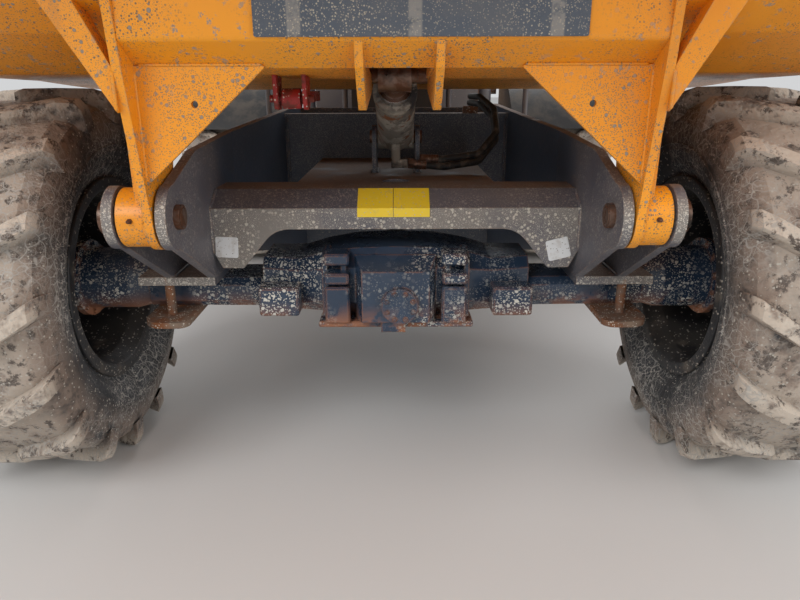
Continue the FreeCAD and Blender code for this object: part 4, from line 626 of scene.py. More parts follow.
def lug(work, side, angle):
    # stations along the lug from its foot on the shoulder to its nose by the tyre's middle
    stations = [
        # share of the way in, height of the top, width share, foot depth
        (-0.012, 0.5, 0.92, 0.475),
        (0.0, 0.537, 1.0, 0.478),
        (0.06, 0.562, 1.0, 0.49),
        (0.22, 0.5745, 0.96, 0.515),
        (0.6, 0.5755, 0.93, 0.53),
        (0.93, 0.575, 0.9, 0.533),
        (1.0, 0.568, 0.72, 0.533),
    ]
    radial_of = lambda a: Vector((0, math.sin(a), -math.cos(a)))
    rings = []
    for share, top, wide, foot in stations:
        x = side * (tyre_half - 0.003 - share * (tyre_half - 0.015))
        middle = -lug_slant + 2.0 * lug_slant * max(0.0, share)
        middle += 0.012 * math.sin(math.pi * max(0.0, share))
        ring = []
        for offset, radius in (
            (-1.18, foot), (-1.0, top - 0.012), (-0.86, top - 0.002), (0.0, top),
            (0.86, top - 0.002), (1.0, top - 0.012), (1.18, foot),
        ):
            t = middle + offset * lug_half * wide
            turned = angle + t / tyre_radius
            limit = min(radius, tyre_radius - 0.0005)
            ring.append(work.verts.new(Vector((x, 0, 0)) + radial_of(turned) * limit))
        rings.append(ring)
    for a, b in zip(rings, rings[1:]):
        for i in range(len(a) - 1):
            face = (a[i], a[i + 1], b[i + 1], b[i])
            work.faces.new(face if side > 0 else tuple(reversed(face)))
    work.faces.new(rings[0] if side < 0 else tuple(reversed(rings[0])))
    work.faces.new(rings[-1] if side > 0 else tuple(reversed(rings[-1])))


def sidewall_ribs(work):
    for x_in, radius, wide in ((0.045, 0.329, 0.004), (0.0225, 0.357, 0.003), (0.0035, 0.412, 0.003)):
        for side in (-1.0, 1.0):
            rings = []
            for dr, dx in ((-wide, 0.001), (-wide * 0.4, -0.0025), (wide * 0.4, -0.0025), (wide, 0.001)):
                rings.append(wheel_circle(work, side * (tyre_half - x_in - dx), radius + dr))
            join_circles(work, rings)


def whole_tyre(work):
    carcass(work)
    for i in range(lug_count):
        step = 2.0 * math.pi / lug_count
        lug(work, 1.0, lug_lead + i * step)
        lug(work, -1.0, lug_lead + (i + 0.5) * step)
    sidewall_ribs(work)
    bmesh.ops.recalc_face_normals(work, faces=work.faces)


muddy_rubber = Finish("muddy_rubber", roughness=0.78, base=(0.024, 0.025, 0.028))
muddy_rubber.over(muddy_rubber.between(muddy_rubber.cloud(6.0), 0.35, 0.7), (0.05, 0.054, 0.062))
from_axle = muddy_rubber.node("ShaderNodeVectorMath", operation="MULTIPLY")
muddy_rubber.feed(from_axle.inputs[0], muddy_rubber.place["Object"])
from_axle.inputs[1].default_value = (0.0, 1.0, 1.0)
distance = muddy_rubber.node("ShaderNodeVectorMath", operation="LENGTH")
muddy_rubber.feed(distance.inputs[0], from_axle.outputs[0])
at_radius = distance.outputs["Value"]
outer_band = muddy_rubber.between(at_radius, 0.38, 0.5)
brown_mud = muddy_rubber.math("MULTIPLY", outer_band, muddy_rubber.between(muddy_rubber.cloud(5.5, 4.5, 0.7), 0.34, 0.54))
muddy_rubber.over(brown_mud, (0.235, 0.18, 0.145), 0.95)
lug_band = muddy_rubber.between(at_radius, 0.5, 0.562)
# pale mud on the lug tops, made lighter than the mud alone to stand in for sunlight on the tread: part real mud, part
# painted light
pale_mud_and_painted_light = muddy_rubber.math("MULTIPLY", lug_band, muddy_rubber.between(muddy_rubber.cloud(8.0, 4.5, 0.7), 0.34, 0.5))
muddy_rubber.over(pale_mud_and_painted_light, (0.52, 0.45, 0.375), 0.95)
crumbs = muddy_rubber.math("MULTIPLY", outer_band, muddy_rubber.between(muddy_rubber.cloud(26.0, 4.5, 0.7), 0.52, 0.62))
muddy_rubber.over(crumbs, (0.1, 0.08, 0.068), 0.9)
wall_mask = muddy_rubber.between(muddy_rubber.cloud(3.0, 4.0), 0.36, 0.58)
webs = muddy_rubber.math("MULTIPLY", muddy_rubber.cracks(34.0, 0.075), wall_mask)
fine_webs = muddy_rubber.math("MULTIPLY", muddy_rubber.cracks(80.0, 0.1), wall_mask)
web_lines = muddy_rubber.math("MAXIMUM", webs, muddy_rubber.math("MULTIPLY", fine_webs, 0.6))
muddy_rubber.over(web_lines, (0.37, 0.35, 0.32), 0.95)
muddy_rubber.over(muddy_rubber.specks(150.0, 0.25, 0.5), (0.42, 0.39, 0.34), 0.95)
muddy_rubber.rise(brown_mud, 0.7).rise(pale_mud_and_painted_light, 0.8).rise(muddy_rubber.cloud(60.0), 0.6)
muddy_rubber.bumped(0.005, 0.0)

wheel_names = ("front_left", "front_right", "rear_left", "rear_right")
for wheel in wheel_names:
    low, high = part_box("tyre_" + wheel)
    tyre = built_piece("rubber_tyre_" + wheel, whole_tyre, muddy_rubber, "wheel_" + wheel)
    centre = (Vector(low) + Vector(high)) / 2.0
    rides = tyre.matrix_world.copy()
    if centre.x < 0:
        tyre.data.transform(Matrix.Scale(-1.0, 4, (1, 0, 0)))
        tyre.data.flip_normals()
    tyre.matrix_world = Matrix.Translation(centre) @ rides
    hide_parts("tyre_" + wheel)

# Rims: rolled and pressed steel in black, the disc bolted to the hub by a ring of nuts.
rim_paint = Finish("rim_paint", roughness=0.45, base=(0.018, 0.018, 0.02))
rim_paint.over(rim_paint.between(rim_paint.cloud(5.0), 0.45, 0.7), (0.05, 0.046, 0.042), 0.7)
rim_paint.over(rim_paint.between(rim_paint.cloud(12.0), 0.55, 0.72, 0.8), (0.13, 0.11, 0.09), 0.9)
rim_paint.over(rim_paint.specks(130.0, 0.35, 0.5), (0.32, 0.29, 0.25), 0.9)
rim_paint.rise(rim_paint.cloud(80.0), 1.0)
rim_paint.bumped(0.0015)
for wheel in wheel_names:
    dress(rim_paint, "rim_" + wheel)
nut_ring = 0.118
nut_count = 10


def wheel_nuts(centre, side):
    outward = Vector((side, 0, 0)).to_track_quat("Z", "Y").to_matrix().to_4x4()

    def build(work):
        for i in range(nut_count):
            angle = 2.0 * math.pi * (i + 0.5) / nut_count
            place = Vector((side * 0.079, nut_ring * math.cos(angle), nut_ring * math.sin(angle)))
            hex_bolt(work, centre + place, (side, 0, 0), 0.012, 0.016)
            stud = Matrix.Translation(centre + place) @ outward
            add_ring_stack(work, stud, [(0.0065, 0.014), (0.0065, 0.026), (0.0052, 0.0275)], 10)
        # the tyre's valve, out of the rim's barrel beside the disc
        valve = Matrix.Translation(centre + Vector((side * 0.09, 0.0, 0.238))) @ outward
        add_ring_stack(work, valve, [(0.007, -0.01), (0.007, 0.02), (0.0045, 0.022), (0.0045, 0.045), (0.003, 0.047)], 10)
    return build


for wheel in wheel_names:
    low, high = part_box("tyre_" + wheel)
    centre = (Vector(low) + Vector(high)) / 2.0
    side = 1.0 if centre.x > 0 else -1.0
    built_piece("wheel_nuts_" + wheel, wheel_nuts(centre, side), bolt_steel, "wheel_" + wheel)

# Skip: plate steel, folded and welded, in a bright orange that is scratched, chipped and specked with
# concrete. The lip is worn to bare steel and the floor carries a skin of dried concrete.
def skip_paint(name, splash, streaks):
    paint = Finish(name, roughness=0.36, base=(0.88, 0.34, 0.012))
    paint.over(paint.between(paint.cloud(1.6), 0.4, 0.68), (0.8, 0.285, 0.012))
    runs = paint.between(paint.cloud(4.5, 4.5, 0.7, (1.0, 1.0, 0.3)), 0.56, 0.72, streaks)
    paint.over(runs, (0.46, 0.2, 0.05), 0.7)
    patches = paint.between(paint.cloud(2.6), 0.46, 0.6)
    scuffs = paint.math("MULTIPLY", paint.between(paint.cloud(30.0, 4.5, 0.75), 0.58, 0.65), patches)
    paint.over(scuffs, (0.34, 0.27, 0.2), 0.7)
    wear = paint.math("MULTIPLY", paint.edges(0.006), paint.between(paint.cloud(26.0), 0.5, 0.62))
    paint.over(wear, (0.36, 0.26, 0.18), 0.65)
    cluster = paint.between(paint.cloud(3.4, 4.0), 0.3, 0.55)
    coarse = paint.math("MULTIPLY", paint.specks(95.0, 0.28 * splash, 0.5), cluster)
    middle = paint.math("MULTIPLY", paint.specks(190.0, 0.62 * splash, 0.5), cluster)
    fine = paint.math("MULTIPLY", paint.specks(380.0, 0.7 * splash, 0.55), cluster)
    paint.over(middle, (0.2, 0.14, 0.085), 0.8)
    paint.over(fine, (0.26, 0.19, 0.12), 0.8)
    paint.over(coarse, (0.3, 0.26, 0.21), 0.9)
    paint.rise(coarse, 0.6).rise(paint.cloud(300.0, 2.0), 0.08).rise(paint.cloud(2.5, 2.0), 1.2)
    return paint.bumped(0.0018)


arm_orange = skip_paint("arm_orange", 0.9, 0.35)
tub_orange = skip_paint("tub_orange", 0.6, 0.6)
load_skin = tub_orange.between(tub_orange.cloud(2.4, 4.5), 0.3, 0.5)
tub_orange.over(tub_orange.math("MULTIPLY", tub_orange.facing_up(0.15, 0.4), load_skin), (0.3, 0.27, 0.23), 0.9)
dress(tub_orange, "skip_tub")
slate = Finish("slate_panel", roughness=0.62, base=(0.075, 0.095, 0.125))
slate.over(slate.between(slate.cloud(5.0, 4.5, 0.7), 0.42, 0.66, 0.7), (0.12, 0.13, 0.145), 0.8)
for stripe_x in (-0.198, 0.044, 0.327):
    stripe = slate.along("Object", "X", stripe_x - 0.016, stripe_x - 0.011)
    stripe = slate.math("MULTIPLY", stripe, slate.along("Object", "X", stripe_x + 0.016, stripe_x + 0.011))
    slate.over(slate.math("MULTIPLY", stripe, slate.between(slate.cloud(30.0), 0.3, 0.5, 0.8)), (0.27, 0.265, 0.25), 0.8)
grit = slate.math("MULTIPLY", slate.specks(190.0, 0.45, 0.5), slate.between(slate.cloud(6.0), 0.35, 0.6))
slate.over(grit, (0.42, 0.39, 0.32), 0.9)
slate.over(slate.specks(380.0, 0.7, 0.55), (0.3, 0.28, 0.24), 0.9)
slate.rise(slate.cloud(200.0), 1.0)
slate.bumped(0.0012)
prop_paint = Finish("prop_red", roughness=0.5, base=(0.34, 0.018, 0.016))
prop_paint.over(prop_paint.between(prop_paint.cloud(24.0), 0.5, 0.62), (0.16, 0.03, 0.02), 0.7)
prop_paint.over(prop_paint.specks(160.0, 0.3, 0.5), concrete_cream, 0.9)
prop_paint.rise(prop_paint.cloud(140.0), 1.0)
prop_paint.bumped(0.0012)
dress(prop_paint, "body_prop")



def rounded_outline(rows):
    # an outline's corners, each cut round by its own radius
    points = []
    for i, (a, b, radius) in enumerate(rows):
        here = Vector((a, b))
        if radius == 0.0:
            points.append(here)
            continue
        before = (Vector(rows[i - 1][:2]) - here).normalized()
        after = (Vector(rows[(i + 1) % len(rows)][:2]) - here).normalized()
        half_angle = before.angle(after) / 2.0
        reach = radius / math.tan(half_angle)
        middle = here + (before + after).normalized() * (radius / math.sin(half_angle))
        steps = max(4, int(radius * 180.0))
        for k in range(steps + 1):
            spoke = (before * (1.0 - k / steps) + after * (k / steps)) * reach + here - middle
            points.append(middle + spoke.normalized() * radius)
    return points


def cut_plate(work, rows, normal, low, high, holes=()):
    # a steel plate cut to an outline in y and z, or in x and z, with round holes
    loops = [rounded_outline(rows)]
    for a, b, radius in holes:
        turns = [2.0 * math.pi * i / 28 for i in range(28)]
        loops.append([Vector((a + radius * math.cos(t), b + radius * math.sin(t))) for t in turns])
    sides = []
    for depth in (low, high):
        rings, edges = [], []
        for loop in loops:
            spots = [(depth, p.x, p.y) if normal == "X" else (p.x, depth, p.y) for p in loop]
            ring = [work.verts.new(spot) for spot in spots]
            edges += [work.edges.new((ring[i - 1], ring[i])) for i in range(len(ring))]
            rings.append(ring)
        bmesh.ops.triangle_fill(work, use_beauty=True, use_dissolve=False, edges=edges)
        sides.append(rings)
    for near, far in zip(*sides):
        for i in range(len(near)):
            work.faces.new((near[i - 1], near[i], far[i], far[i - 1]))


def crisp(piece):
    work = bmesh.new()
    work.from_mesh(piece.data)
    bmesh.ops.recalc_face_normals(work, faces=work.faces)
    work.to_mesh(piece.data)
    work.free()
    piece.data.shade_smooth()
    piece.data.set_sharp_from_angle(angle=math.radians(32.0))


arm_rows = [
    (pivot_row_y + 0.078, pivot_row_z, 0.0),
    (pivot_row_y + 0.078, pivot_row_z - 0.078, 0.0779),
    (pivot_row_y - 0.078, pivot_row_z - 0.078, 0.0779),
    (pivot_row_y - 0.078, pivot_row_z, 0.0),
    (-1.608, 1.19, 0.06),
    (-1.626, 1.348, 0.0),
    (-1.5, 1.268, 0.0),
    (-1.27, 1.187, 0.0),
    (-1.35, 1.0, 0.06),
]
doubler_rows = [(-1.52, 1.14, 0.02), (-1.517, 0.899, 0.0), (-1.415, 0.899, 0.0), (-1.44, 1.14, 0.02)]
boss_rows = [(pivot_row_y + a * 0.071, pivot_row_z + b * 0.071, 0.0709) for a, b in ((1, 1), (1, -1), (-1, -1), (-1, 1))]
pin_bore = [(pivot_row_y, pivot_row_z, 0.0301)]


def arms(work):
    for side in (-1.0, 1.0):
        web_rows = [(side * 0.556, 0.941, 0.0), (side * 0.271, 1.196, 0.004), (side * 0.556, 1.196, 0.0)]
        cut_plate(work, arm_rows, "X", side * 0.556, side * 0.576, pin_bore)
        cut_plate(work, doubler_rows, "X", side * 0.575, side * 0.6)
        cut_plate(work, boss_rows, "X", side * 0.575, side * 0.645, pin_bore)
        cut_plate(work, web_rows, "Y", -1.54, -1.528, [(side * 0.433, 1.116, 0.0075)])


arm_piece = built_piece("pivot_arms", arms, arm_orange, "skip")
crisp(arm_piece)
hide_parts("skip_arms")


def braces(work):
    # thick bars from the arms up and out to the tub's underside
    for side in (-1.0, 1.0):
        ends = []
        for y, x_low, x_high, top in ((-1.604, 0.717, 0.646, 1.331), (-1.556, 0.699, 0.631, 1.301)):
            corners = ((0.576, 1.101), (0.576, 1.189), (x_high, top), (x_low, top))
            ends.append([work.verts.new((side * x, y, z)) for x, z in corners])
        work.faces.new(ends[0])
        work.faces.new(ends[1][::-1])
        for i in range(4):
            work.faces.new((ends[0][i - 1], ends[0][i], ends[1][i], ends[1][i - 1]))


brace_piece = built_piece("outrigger_braces", braces, arm_orange, "skip")
crisp(brace_piece)
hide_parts("skip_braces")

front_fold_rows = [
    (-1.525, 1.19, 0.0),
    (-1.612, 1.243, 0.016),
    (-1.612, 1.337, 0.0),
    (-1.602, 1.331, 0.0),
    (-1.602, 1.249, 0.006),
    (-1.525, 1.2, 0.0),
]
floor_member_rows = [
    (-1.525, 1.19, 0.0),
    (-1.525, 1.2, 0.0),
    (-1.4, 1.222, 0.0),
    (-1.27, 1.181, 0.0),
    (-1.27, 1.171, 0.0),
    (-1.4, 1.18, 0.02),
]
eye_plate_rows = [
    (-1.608, 1.241, 0.0),
    (-1.595, 1.19, 0.01),
    (-1.524, 1.125, 0.014),
    (-1.49, 1.1, 0.02),
    (-1.4, 1.11, 0.03),
    (-1.19, 1.135, 0.02),
    (-1.112, 1.148, 0.024),
    (-1.112, 1.174, 0.0),
    (-1.4, 1.2, 0.0),
    (-1.52, 1.195, 0.0),
]


def underframe(work):
    cut_plate(work, front_fold_rows, "X", -0.556, 0.556)
    for side in (-1.0, 1.0):
        cut_plate(work, floor_member_rows, "X", side * 0.08, side * 0.556)
        near = 0.075 + side * 0.013
        cut_plate(work, eye_plate_rows, "X", side * near, side * (near + 0.018))


frame_piece = built_piece("folded_underframe", underframe, arm_orange, "skip")
crisp(frame_piece)
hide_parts("skip_underframe")


def slate_plate(work):
    rows = [(-0.279, 1.247, 0.004), (0.391, 1.247, 0.004), (0.391, 1.329, 0.004), (-0.279, 1.329, 0.004)]
    cut_plate(work, rows, "Y", -1.618, -1.612)


slate_piece = built_piece("slate_plate", slate_plate, slate, "skip")
crisp(slate_piece)
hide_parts("skip_front_panel")


def skip_welds(work):
    for side in (-1.0, 1.0):
        for web_y in (-1.5415, -1.527):
            weld_run(work, (side * 0.5565, web_y, 0.95), (side * 0.5565, web_y, 1.186), 0.0055)
        weld_run(work, (side * 0.545, -1.5405, 1.197), (side * 0.281, -1.5405, 1.197), 0.004)
        weld_round(work, (side * 0.577, pivot_row_y, pivot_row_z), 0.073, 0.0055)
        near = 0.075 + side * 0.013
        for x in (near - 0.0005, near + 0.0185):
            weld_run(work, (side * x, -1.606, 1.24), (side * x, -1.53, 1.196), 0.0045)
        for face_y in (-1.6045, -1.5555):
            weld_run(work, (side * 0.5775, face_y, 1.105), (side * 0.5775, face_y, 1.186), 0.005)


built_piece("skip_weld_beads", skip_welds, arm_orange, "skip", smooth=True)


def boss_nipples(work):
    for side in (-1.0, 1.0):
        grease_nipple(work, (side * 0.611, pivot_row_y - 0.0705, pivot_row_z + 0.004), (0, -1, 0.06))


built_piece("boss_grease_nipples", boss_nipples, pin_finish, "skip")


# Tipping ram and steering ram: black barrels, the tipping one caked in mud, and polished rods. Two rubber
# hoses run from the tipping ram's port elbow to the clip on the well panel.
ram_black = Finish("ram_black", roughness=0.35, base=(0.02, 0.02, 0.022))
ram_black.over(ram_black.between(ram_black.cloud(8.0), 0.42, 0.58), (0.17, 0.145, 0.12), 0.9)
ram_black.over(ram_black.specks(170.0, 0.5, 0.6), (0.36, 0.33, 0.28), 0.9)
ram_black.rise(ram_black.cloud(60.0), 1.0)
ram_black.bumped(0.002)
dress(ram_black, "steer_barrel")
caked_ram = Finish("caked_ram", roughness=0.6, base=(0.035, 0.034, 0.036))
crust = caked_ram.between(caked_ram.cloud(7.0, 4.5, 0.7), 0.36, 0.52)
caked_ram.over(crust, (0.25, 0.225, 0.19), 0.95)
caked_ram.over(caked_ram.between(caked_ram.cloud(16.0, 4.5, 0.7), 0.52, 0.6), (0.38, 0.35, 0.3), 0.95)
caked_ram.over(caked_ram.between(caked_ram.cloud(22.0), 0.6, 0.66), rust_brown, 0.8)
caked_ram.rise(crust, 1.0).rise(caked_ram.cloud(60.0), 0.6)
caked_ram.bumped(0.004)
dress(caked_ram, "ram_barrel")
rod_chrome = Finish("rod_chrome", roughness=0.16, metallic=1.0, base=(0.62, 0.62, 0.63))
rod_chrome.over(rod_chrome.between(rod_chrome.cloud(20.0), 0.55, 0.75, 0.4), (0.3, 0.25, 0.2), 0.45)
rod_chrome.rise(rod_chrome.cloud(240.0), 1.0)
rod_chrome.bumped(0.0002)
dress(rod_chrome, "ram_stage", "steer_rod")
dress(pin_finish, "ram_rod")
hose_rubber = Finish("hose_rubber", roughness=0.6, base=(0.018, 0.018, 0.019))
hose_rubber.over(hose_rubber.between(hose_rubber.cloud(30.0), 0.5, 0.7), (0.12, 0.1, 0.08), 0.9)
hose_rubber.rise(hose_rubber.cloud(400.0), 1.0)
hose_rubber.bumped(0.0006)
dress(hose_rubber, "ram_hoses")


def hose_ferrules(work):
    # a crimped ferrule and a hex nut where each hose leaves its port
    for start, ahead in (
        ((0.045, -0.801, 0.905), (0.115, 0.003, -0.012)),
        ((0.085, -0.795, 0.918), (0.078, 0.005, 0.0)),
    ):
        base = Matrix.Translation(start) @ Vector(ahead).to_track_quat("Z", "Y").to_matrix().to_4x4()
        add_ring_stack(work, base, [(0.0185, -0.004), (0.0185, 0.014), (0.017, 0.016)], 6)
        crimp = [(0.0155, 0.016)]
        for i in range(4):
            crimp += [(0.0165, 0.02 + i * 0.009), (0.0148, 0.0235 + i * 0.009), (0.0148, 0.026 + i * 0.009)]
        add_ring_stack(work, base, crimp + [(0.0165, 0.056), (0.013, 0.058)], 20)


built_piece("hose_ferrules", hose_ferrules, pin_finish, "front_frame")

# Rear chassis, tail weight, tanks, steps and roll bar: welded and cast steel in the same graphite paint.
dress(rear_paint, "rear_chassis", "tail_weight", "platform", "side_tanks", "side_steps", "roll_bar", "hand_rails")
lamp_red = Finish("tail_lamp_red", roughness=0.15, base=(0.5, 0.012, 0.012))
lamp_red.over(lamp_red.between(lamp_red.cloud(30.0), 0.5, 0.7, 0.4), (0.2, 0.06, 0.05), 0.5)
lamp_red.rise(lamp_red.cracks(160.0, 0.1), 1.0)
lamp_red.bumped(0.0006)
dress(lamp_red, "tail_lamps")



def upright(x, y, z):
    return Matrix.Translation((x, y, z))


def tread_bars(work):
    # the floor plate's raised bars, in a weave of two slants, clear of the console, the rails and the pedals
    pitch = 0.034
    for i in range(41):
        for j in range(25):
            x = -0.68 + i * pitch
            y = 0.45 + j * pitch
            by_console = abs(x) < 0.25 and y < 0.8
            by_seat = abs(x) < 0.497 and y > 0.99
            by_rail = y < 0.6 and (abs(abs(x) - 0.67) < 0.035 or abs(abs(x) - 0.27) < 0.035)
            past_corner = abs(x) > 0.63 and y < 0.49
            if by_console or by_seat or by_rail or past_corner or y > 1.27:
                continue
            slant = math.radians(45.0 if (i + j) % 2 else -45.0)
            bar = upright(x, y, 0.9149) @ Matrix.Rotation(slant, 4, "Z")
            rounded_tile(work, bar, 0.0135, 0.0032, 0.0016, 0.003, 2)


built_piece("floor_tread_bars", tread_bars, rear_paint, "rear_frame")


def frame_bolts(work):
    # roll bar feet, and the tail weight's bolts into the cross member
    for side in (-1.0, 1.0):
        for dx in (-0.045, 0.045):
            for y in (1.307, 1.362):
                hex_bolt(work, (side * 0.56 + dx, y, 0.915), (0, 0, 1), 0.011, 0.012)
        for z in (0.66, 0.76):
            hex_bolt(work, (side * 0.2, 2.29, z), (0, 1, 0), 0.015, 0.016)
            hex_bolt(work, (side * 0.31, 2.29, z), (0, 1, 0), 0.015, 0.016)


built_piece("frame_bolts", frame_bolts, bolt_steel, "rear_frame")


def filler_caps(work):
    # a ribbed screw cap on each tank's filler neck
    for side in (-1.0, 1.0):
        neck = Matrix.Translation((side * 0.7135, 0.81, 0.805))
        neck = neck @ Vector((side, 0, 0)).to_track_quat("Z", "Y").to_matrix().to_4x4()
        add_ring_stack(work, neck, [(0.041, 0.0), (0.041, 0.016), (0.037, 0.02), (0.012, 0.021)], 32)
        for i in range(16):
            angle = 2.0 * math.pi * i / 16
            rib = neck @ Matrix.Translation((0.0405 * math.cos(angle), 0.0405 * math.sin(angle), 0.001))
            add_ring_stack(work, rib, [(0.003, 0.0), (0.003, 0.015), (0.002, 0.0165)], 6)


cap_black = Finish("cap_black", roughness=0.5, base=(0.02, 0.02, 0.021))
cap_black.over(cap_black.between(cap_black.cloud(30.0), 0.5, 0.7), (0.12, 0.1, 0.08), 0.85)
cap_black.rise(cap_black.cloud(500.0, 2.0), 1.0)
cap_black.bumped(0.0005)
built_piece("filler_caps", filler_caps, cap_black, "rear_frame", smooth=False)

# Engine, its cover and exhaust: a pressed steel cover in the skip's orange, a cast block and a rusty silencer.
cover_orange = skip_paint("cover_orange", 0.15, 0.2)
dress(cover_orange, "engine_cover")
block_iron = Finish("block_iron", roughness=0.75, metallic=0.3, base=(0.06, 0.06, 0.062))
block_iron.over(block_iron.between(block_iron.cloud(9.0), 0.45, 0.65), (0.02, 0.018, 0.016), 0.4)
block_iron.rise(block_iron.cloud(120.0), 1.0)
block_iron.bumped(0.002)
dress(block_iron, "engine_block")
dress(rusty_steel, "exhaust")


def cooler_core(work):
    # a finned core in a pressed frame, seen through the tail's slots
    low, high = (-0.29, 2.155, 0.925), (0.29, 2.235, 1.25)
    for i in range(97):
        x = low[0] + 0.01 + i * 0.00593
        fin = [work.verts.new((x, y, z)) for y, z in ((2.165, 0.94), (2.225, 0.94), (2.225, 1.235), (2.165, 1.235))]
        work.faces.new(fin)
    flat = Matrix.Rotation(math.radians(-90.0), 4, "X")
    middle_z = (low[2] + high[2]) / 2.0
    for side in (-1.0, 1.0):
        rounded_tile(work, Matrix.Translation((side * 0.297, low[1], middle_z)) @ flat, 0.012, 0.17, 0.08, 0.004)
        end_z = middle_z + side * 0.163
        rounded_tile(work, Matrix.Translation((0.0, low[1], end_z)) @ flat, 0.29, 0.01, 0.08, 0.004)


built_piece("cooler_core", cooler_core, block_iron, "rear_frame")


def cover_latches(work):
    # on each side of the cover a pressed dish with a folding handle across it
    for side in (-1.0, 1.0):
        outward = Vector((side, 0, 0)).to_track_quat("Z", "Y").to_matrix().to_4x4()
        base = Matrix.Translation((side * 0.4899, 2.0, 1.0)) @ outward
        add_ring_stack(work, base, [(0.042, 0.0), (0.042, 0.003), (0.036, 0.006), (0.03, 0.003), (0.002, 0.003)], 28)
        rounded_tile(work, base @ Matrix.Translation((0, 0, 0.003)), 0.0075, 0.032, 0.012, 0.007)


built_piece("cover_latches", cover_latches, cap_black, "engine_cover_body")

# Driving place: moulded black plastic console, levers and mudguards.
black_plastic = Finish("grained_plastic", roughness=0.55, base=(0.022, 0.022, 0.023))
settled = black_plastic.between(black_plastic.cloud(8.0), 0.4, 0.6, 0.7)
black_plastic.over(black_plastic.math("MULTIPLY", black_plastic.facing_up(), settled), (0.13, 0.11, 0.09), 0.85)
black_plastic.rise(black_plastic.cloud(900.0, 2.0), 1.0)
black_plastic.bumped(0.0006, 0.002)
dress(black_plastic, "console", "steering_wheel", "lever_box", "pedals", "rear_mudguards", "seat_base")
seat_vinyl = Finish("seat_vinyl", roughness=0.5, base=(0.02, 0.02, 0.021))
seat_vinyl.over(seat_vinyl.between(seat_vinyl.cloud(8.0), 0.45, 0.7), (0.045, 0.042, 0.04), 0.6)
seat_vinyl.rise(seat_vinyl.cloud(700.0, 2.0), 1.0)
seat_vinyl.bumped(0.0008)
seat_body = "rear_frame"


def console_controls(work):
    # two blank dials, a key switch, four rocker switches and the steering wheel's cap
    face_tilt = math.atan2(0.05, 0.14)
    face = Matrix.Translation((0.0, 0.55, 1.355)) @ Matrix.Rotation(-face_tilt, 4, "X")
    for x in (-0.16, 0.16):
        dial = face @ Matrix.Translation((x, 0.0, 0.0))
        add_ring_stack(work, dial, [(0.034, -0.004), (0.034, 0.005), (0.031, 0.008), (0.028, 0.005), (0.002, 0.005)], 32)
    key = face @ Matrix.Translation((0.075, 0.012, 0.0))
    add_ring_stack(work, key, [(0.013, -0.004), (0.013, 0.005), (0.01, 0.008)], 20)
    rounded_tile(work, key @ Matrix.Translation((0.0, 0.0, 0.008)), 0.002, 0.009, 0.02, 0.0015, 2)
    for i in range(4):
        rocker = face @ Matrix.Translation((-0.09 + i * 0.03, 0.012, -0.002))
        rounded_tile(work, rocker, 0.011, 0.018, 0.008, 0.003, 2)
    turn = Vector((0, 0.1, 0.13)).to_track_quat("Z", "Y").to_matrix().to_4x4()
    cap = Matrix.Translation((0.0, 0.68, 1.485)) @ turn @ Matrix.Translation((0.0, 0.0, 0.0138))
    add_ring_stack(work, cap, [(0.034, 0.0), (0.034, 0.004), (0.028, 0.009), (0.014, 0.012)], 32)


built_piece("console_controls", console_controls, cap_black, "rear_frame")


def lever_boots(work):
    # a pleated rubber boot round the foot of each lever
    lean = Vector((0.0, -0.05, 0.14)).to_track_quat("Z", "Y").to_matrix().to_4x4()
    for x in (0.304, 0.356):
        boot = Matrix.Translation((x, 1.134, 1.337)) @ lean
        pleats = [(0.0235, -0.004)]
        for i in range(4):
            pleats += [(0.0235 - i * 0.0033, 0.003 + i * 0.009), (0.0185 - i * 0.003, 0.0075 + i * 0.009)]
        add_ring_stack(work, boot, pleats + [(0.0085, 0.04)], 20)
    for pedal_x in (-0.15, 0.09, 0.165):
        tilt = Matrix.Rotation(math.atan2(0.108, -0.018), 4, "X")
        pad = Matrix.Translation((pedal_x, 0.757, 0.985)) @ tilt
        for i in range(5):
            rounded_tile(work, pad @ Matrix.Translation((0.0, -0.04 + i * 0.02, 0.0)), 0.024, 0.004, 0.003, 0.002, 2)


built_piece("lever_boots", lever_boots, cap_black, "rear_frame")


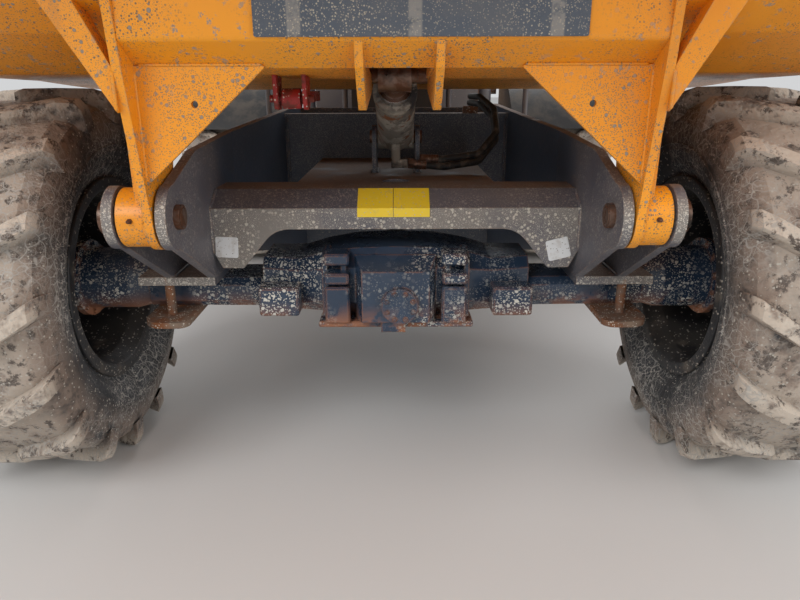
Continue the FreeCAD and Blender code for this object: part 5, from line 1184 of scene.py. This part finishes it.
def stuffed(name, node, crown, cap, channels):
    # a foam pad in a sewn cover: a rounded block of the solid's size is remeshed, blown up as cloth,
    # then drawn in along its sewn channels
    low, high = (Vector(corner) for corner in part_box(node))
    size = high - low
    middle = (low + high) / 2.0
    work = bmesh.new()
    bmesh.ops.create_cube(work, size=1.0)
    shrink = Vector([max(length - 2.0 * crown, length * 0.5) for length in size])
    for vertex in work.verts:
        vertex.co = Vector([vertex.co[i] * shrink[i] for i in range(3)]) + middle
    bmesh.ops.bevel(work, geom=work.edges[:], offset=min(shrink) * 0.3, segments=4, affect="EDGES", profile=0.5)
    mesh = bpy.data.meshes.new(name)
    work.to_mesh(mesh)
    work.free()
    pad = bpy.data.objects.new(name, mesh)
    bpy.context.collection.objects.link(pad)
    remesh = pad.modifiers.new("even_faces", "REMESH")
    remesh.mode = "VOXEL"
    remesh.voxel_size = 0.008
    flat = bpy.data.meshes.new_from_object(pad.evaluated_get(bpy.context.evaluated_depsgraph_get()))
    pad.modifiers.clear()
    pad.data = flat
    rest = [vertex.co.copy() for vertex in flat.vertices]
    cloth = pad.modifiers.new("cover", "CLOTH")
    cloth.settings.use_pressure = True
    cloth.settings.uniform_pressure_force = 4.0
    cloth.settings.effector_weights.gravity = 0.0
    cloth.settings.quality = 5
    scene = bpy.context.scene
    for step in range(1, 21):
        scene.frame_set(step)
    blown = pad.evaluated_get(bpy.context.evaluated_depsgraph_get()).data
    moved = [vertex.co.copy() for vertex in blown.vertices]
    pad.modifiers.clear()
    scene.frame_set(1)
    for vertex, home, there in zip(flat.vertices, rest, moved):
        step = there - home
        if step.length > cap:
            step *= cap / step.length
        vertex.co = home + step
    for vertex in flat.vertices:
        for axis, place, wide, deep in channels:
            gap = abs(vertex.co[axis] - middle[axis] - place)
            if gap < wide:
                pull = deep * (1.0 - gap / wide) ** 2
                vertex.co += (middle - vertex.co).normalized() * pull
        for i in range(3):
            vertex.co[i] = min(max(vertex.co[i], low[i] - 0.002), high[i] + 0.002)
    smoother = pad.modifiers.new("soft", "SUBSURF")
    smoother.levels = smoother.render_levels = 1
    flat.materials.clear()
    flat.materials.append(seat_vinyl.material)
    flat.shade_smooth()
    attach(pad, seat_body)
    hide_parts(node)
    return pad


stuffed("padded_cushion", "seat_cushion", 0.01, 0.012, [(0, -0.085, 0.014, 0.006), (0, 0.085, 0.014, 0.006)])
stuffed("padded_backrest", "seat_backrest", 0.01, 0.012, [(0, -0.085, 0.014, 0.006), (0, 0.085, 0.014, 0.006)])

# Beacon: an amber dome on a black foot, at the side of the roll bar.
amber = Finish("beacon_amber", roughness=0.1, base=(0.85, 0.25, 0.01))
amber.over(amber.between(amber.cloud(20.0), 0.5, 0.7, 0.4), (0.5, 0.18, 0.03), 0.35)
amber.rise(amber.cracks(90.0, 0.12), 1.0)
amber.bumped(0.0008)
dress(amber, "beacon")


def beacon_foot(work):
    add_ring_stack(work, upright(0.668, 1.34, 2.5405), [(0.0515, 0.0), (0.0515, 0.024), (0.0485, 0.0285), (0.0415, 0.029)], 40, cap=False)


built_piece("beacon_foot", beacon_foot, cap_black, "rear_frame")
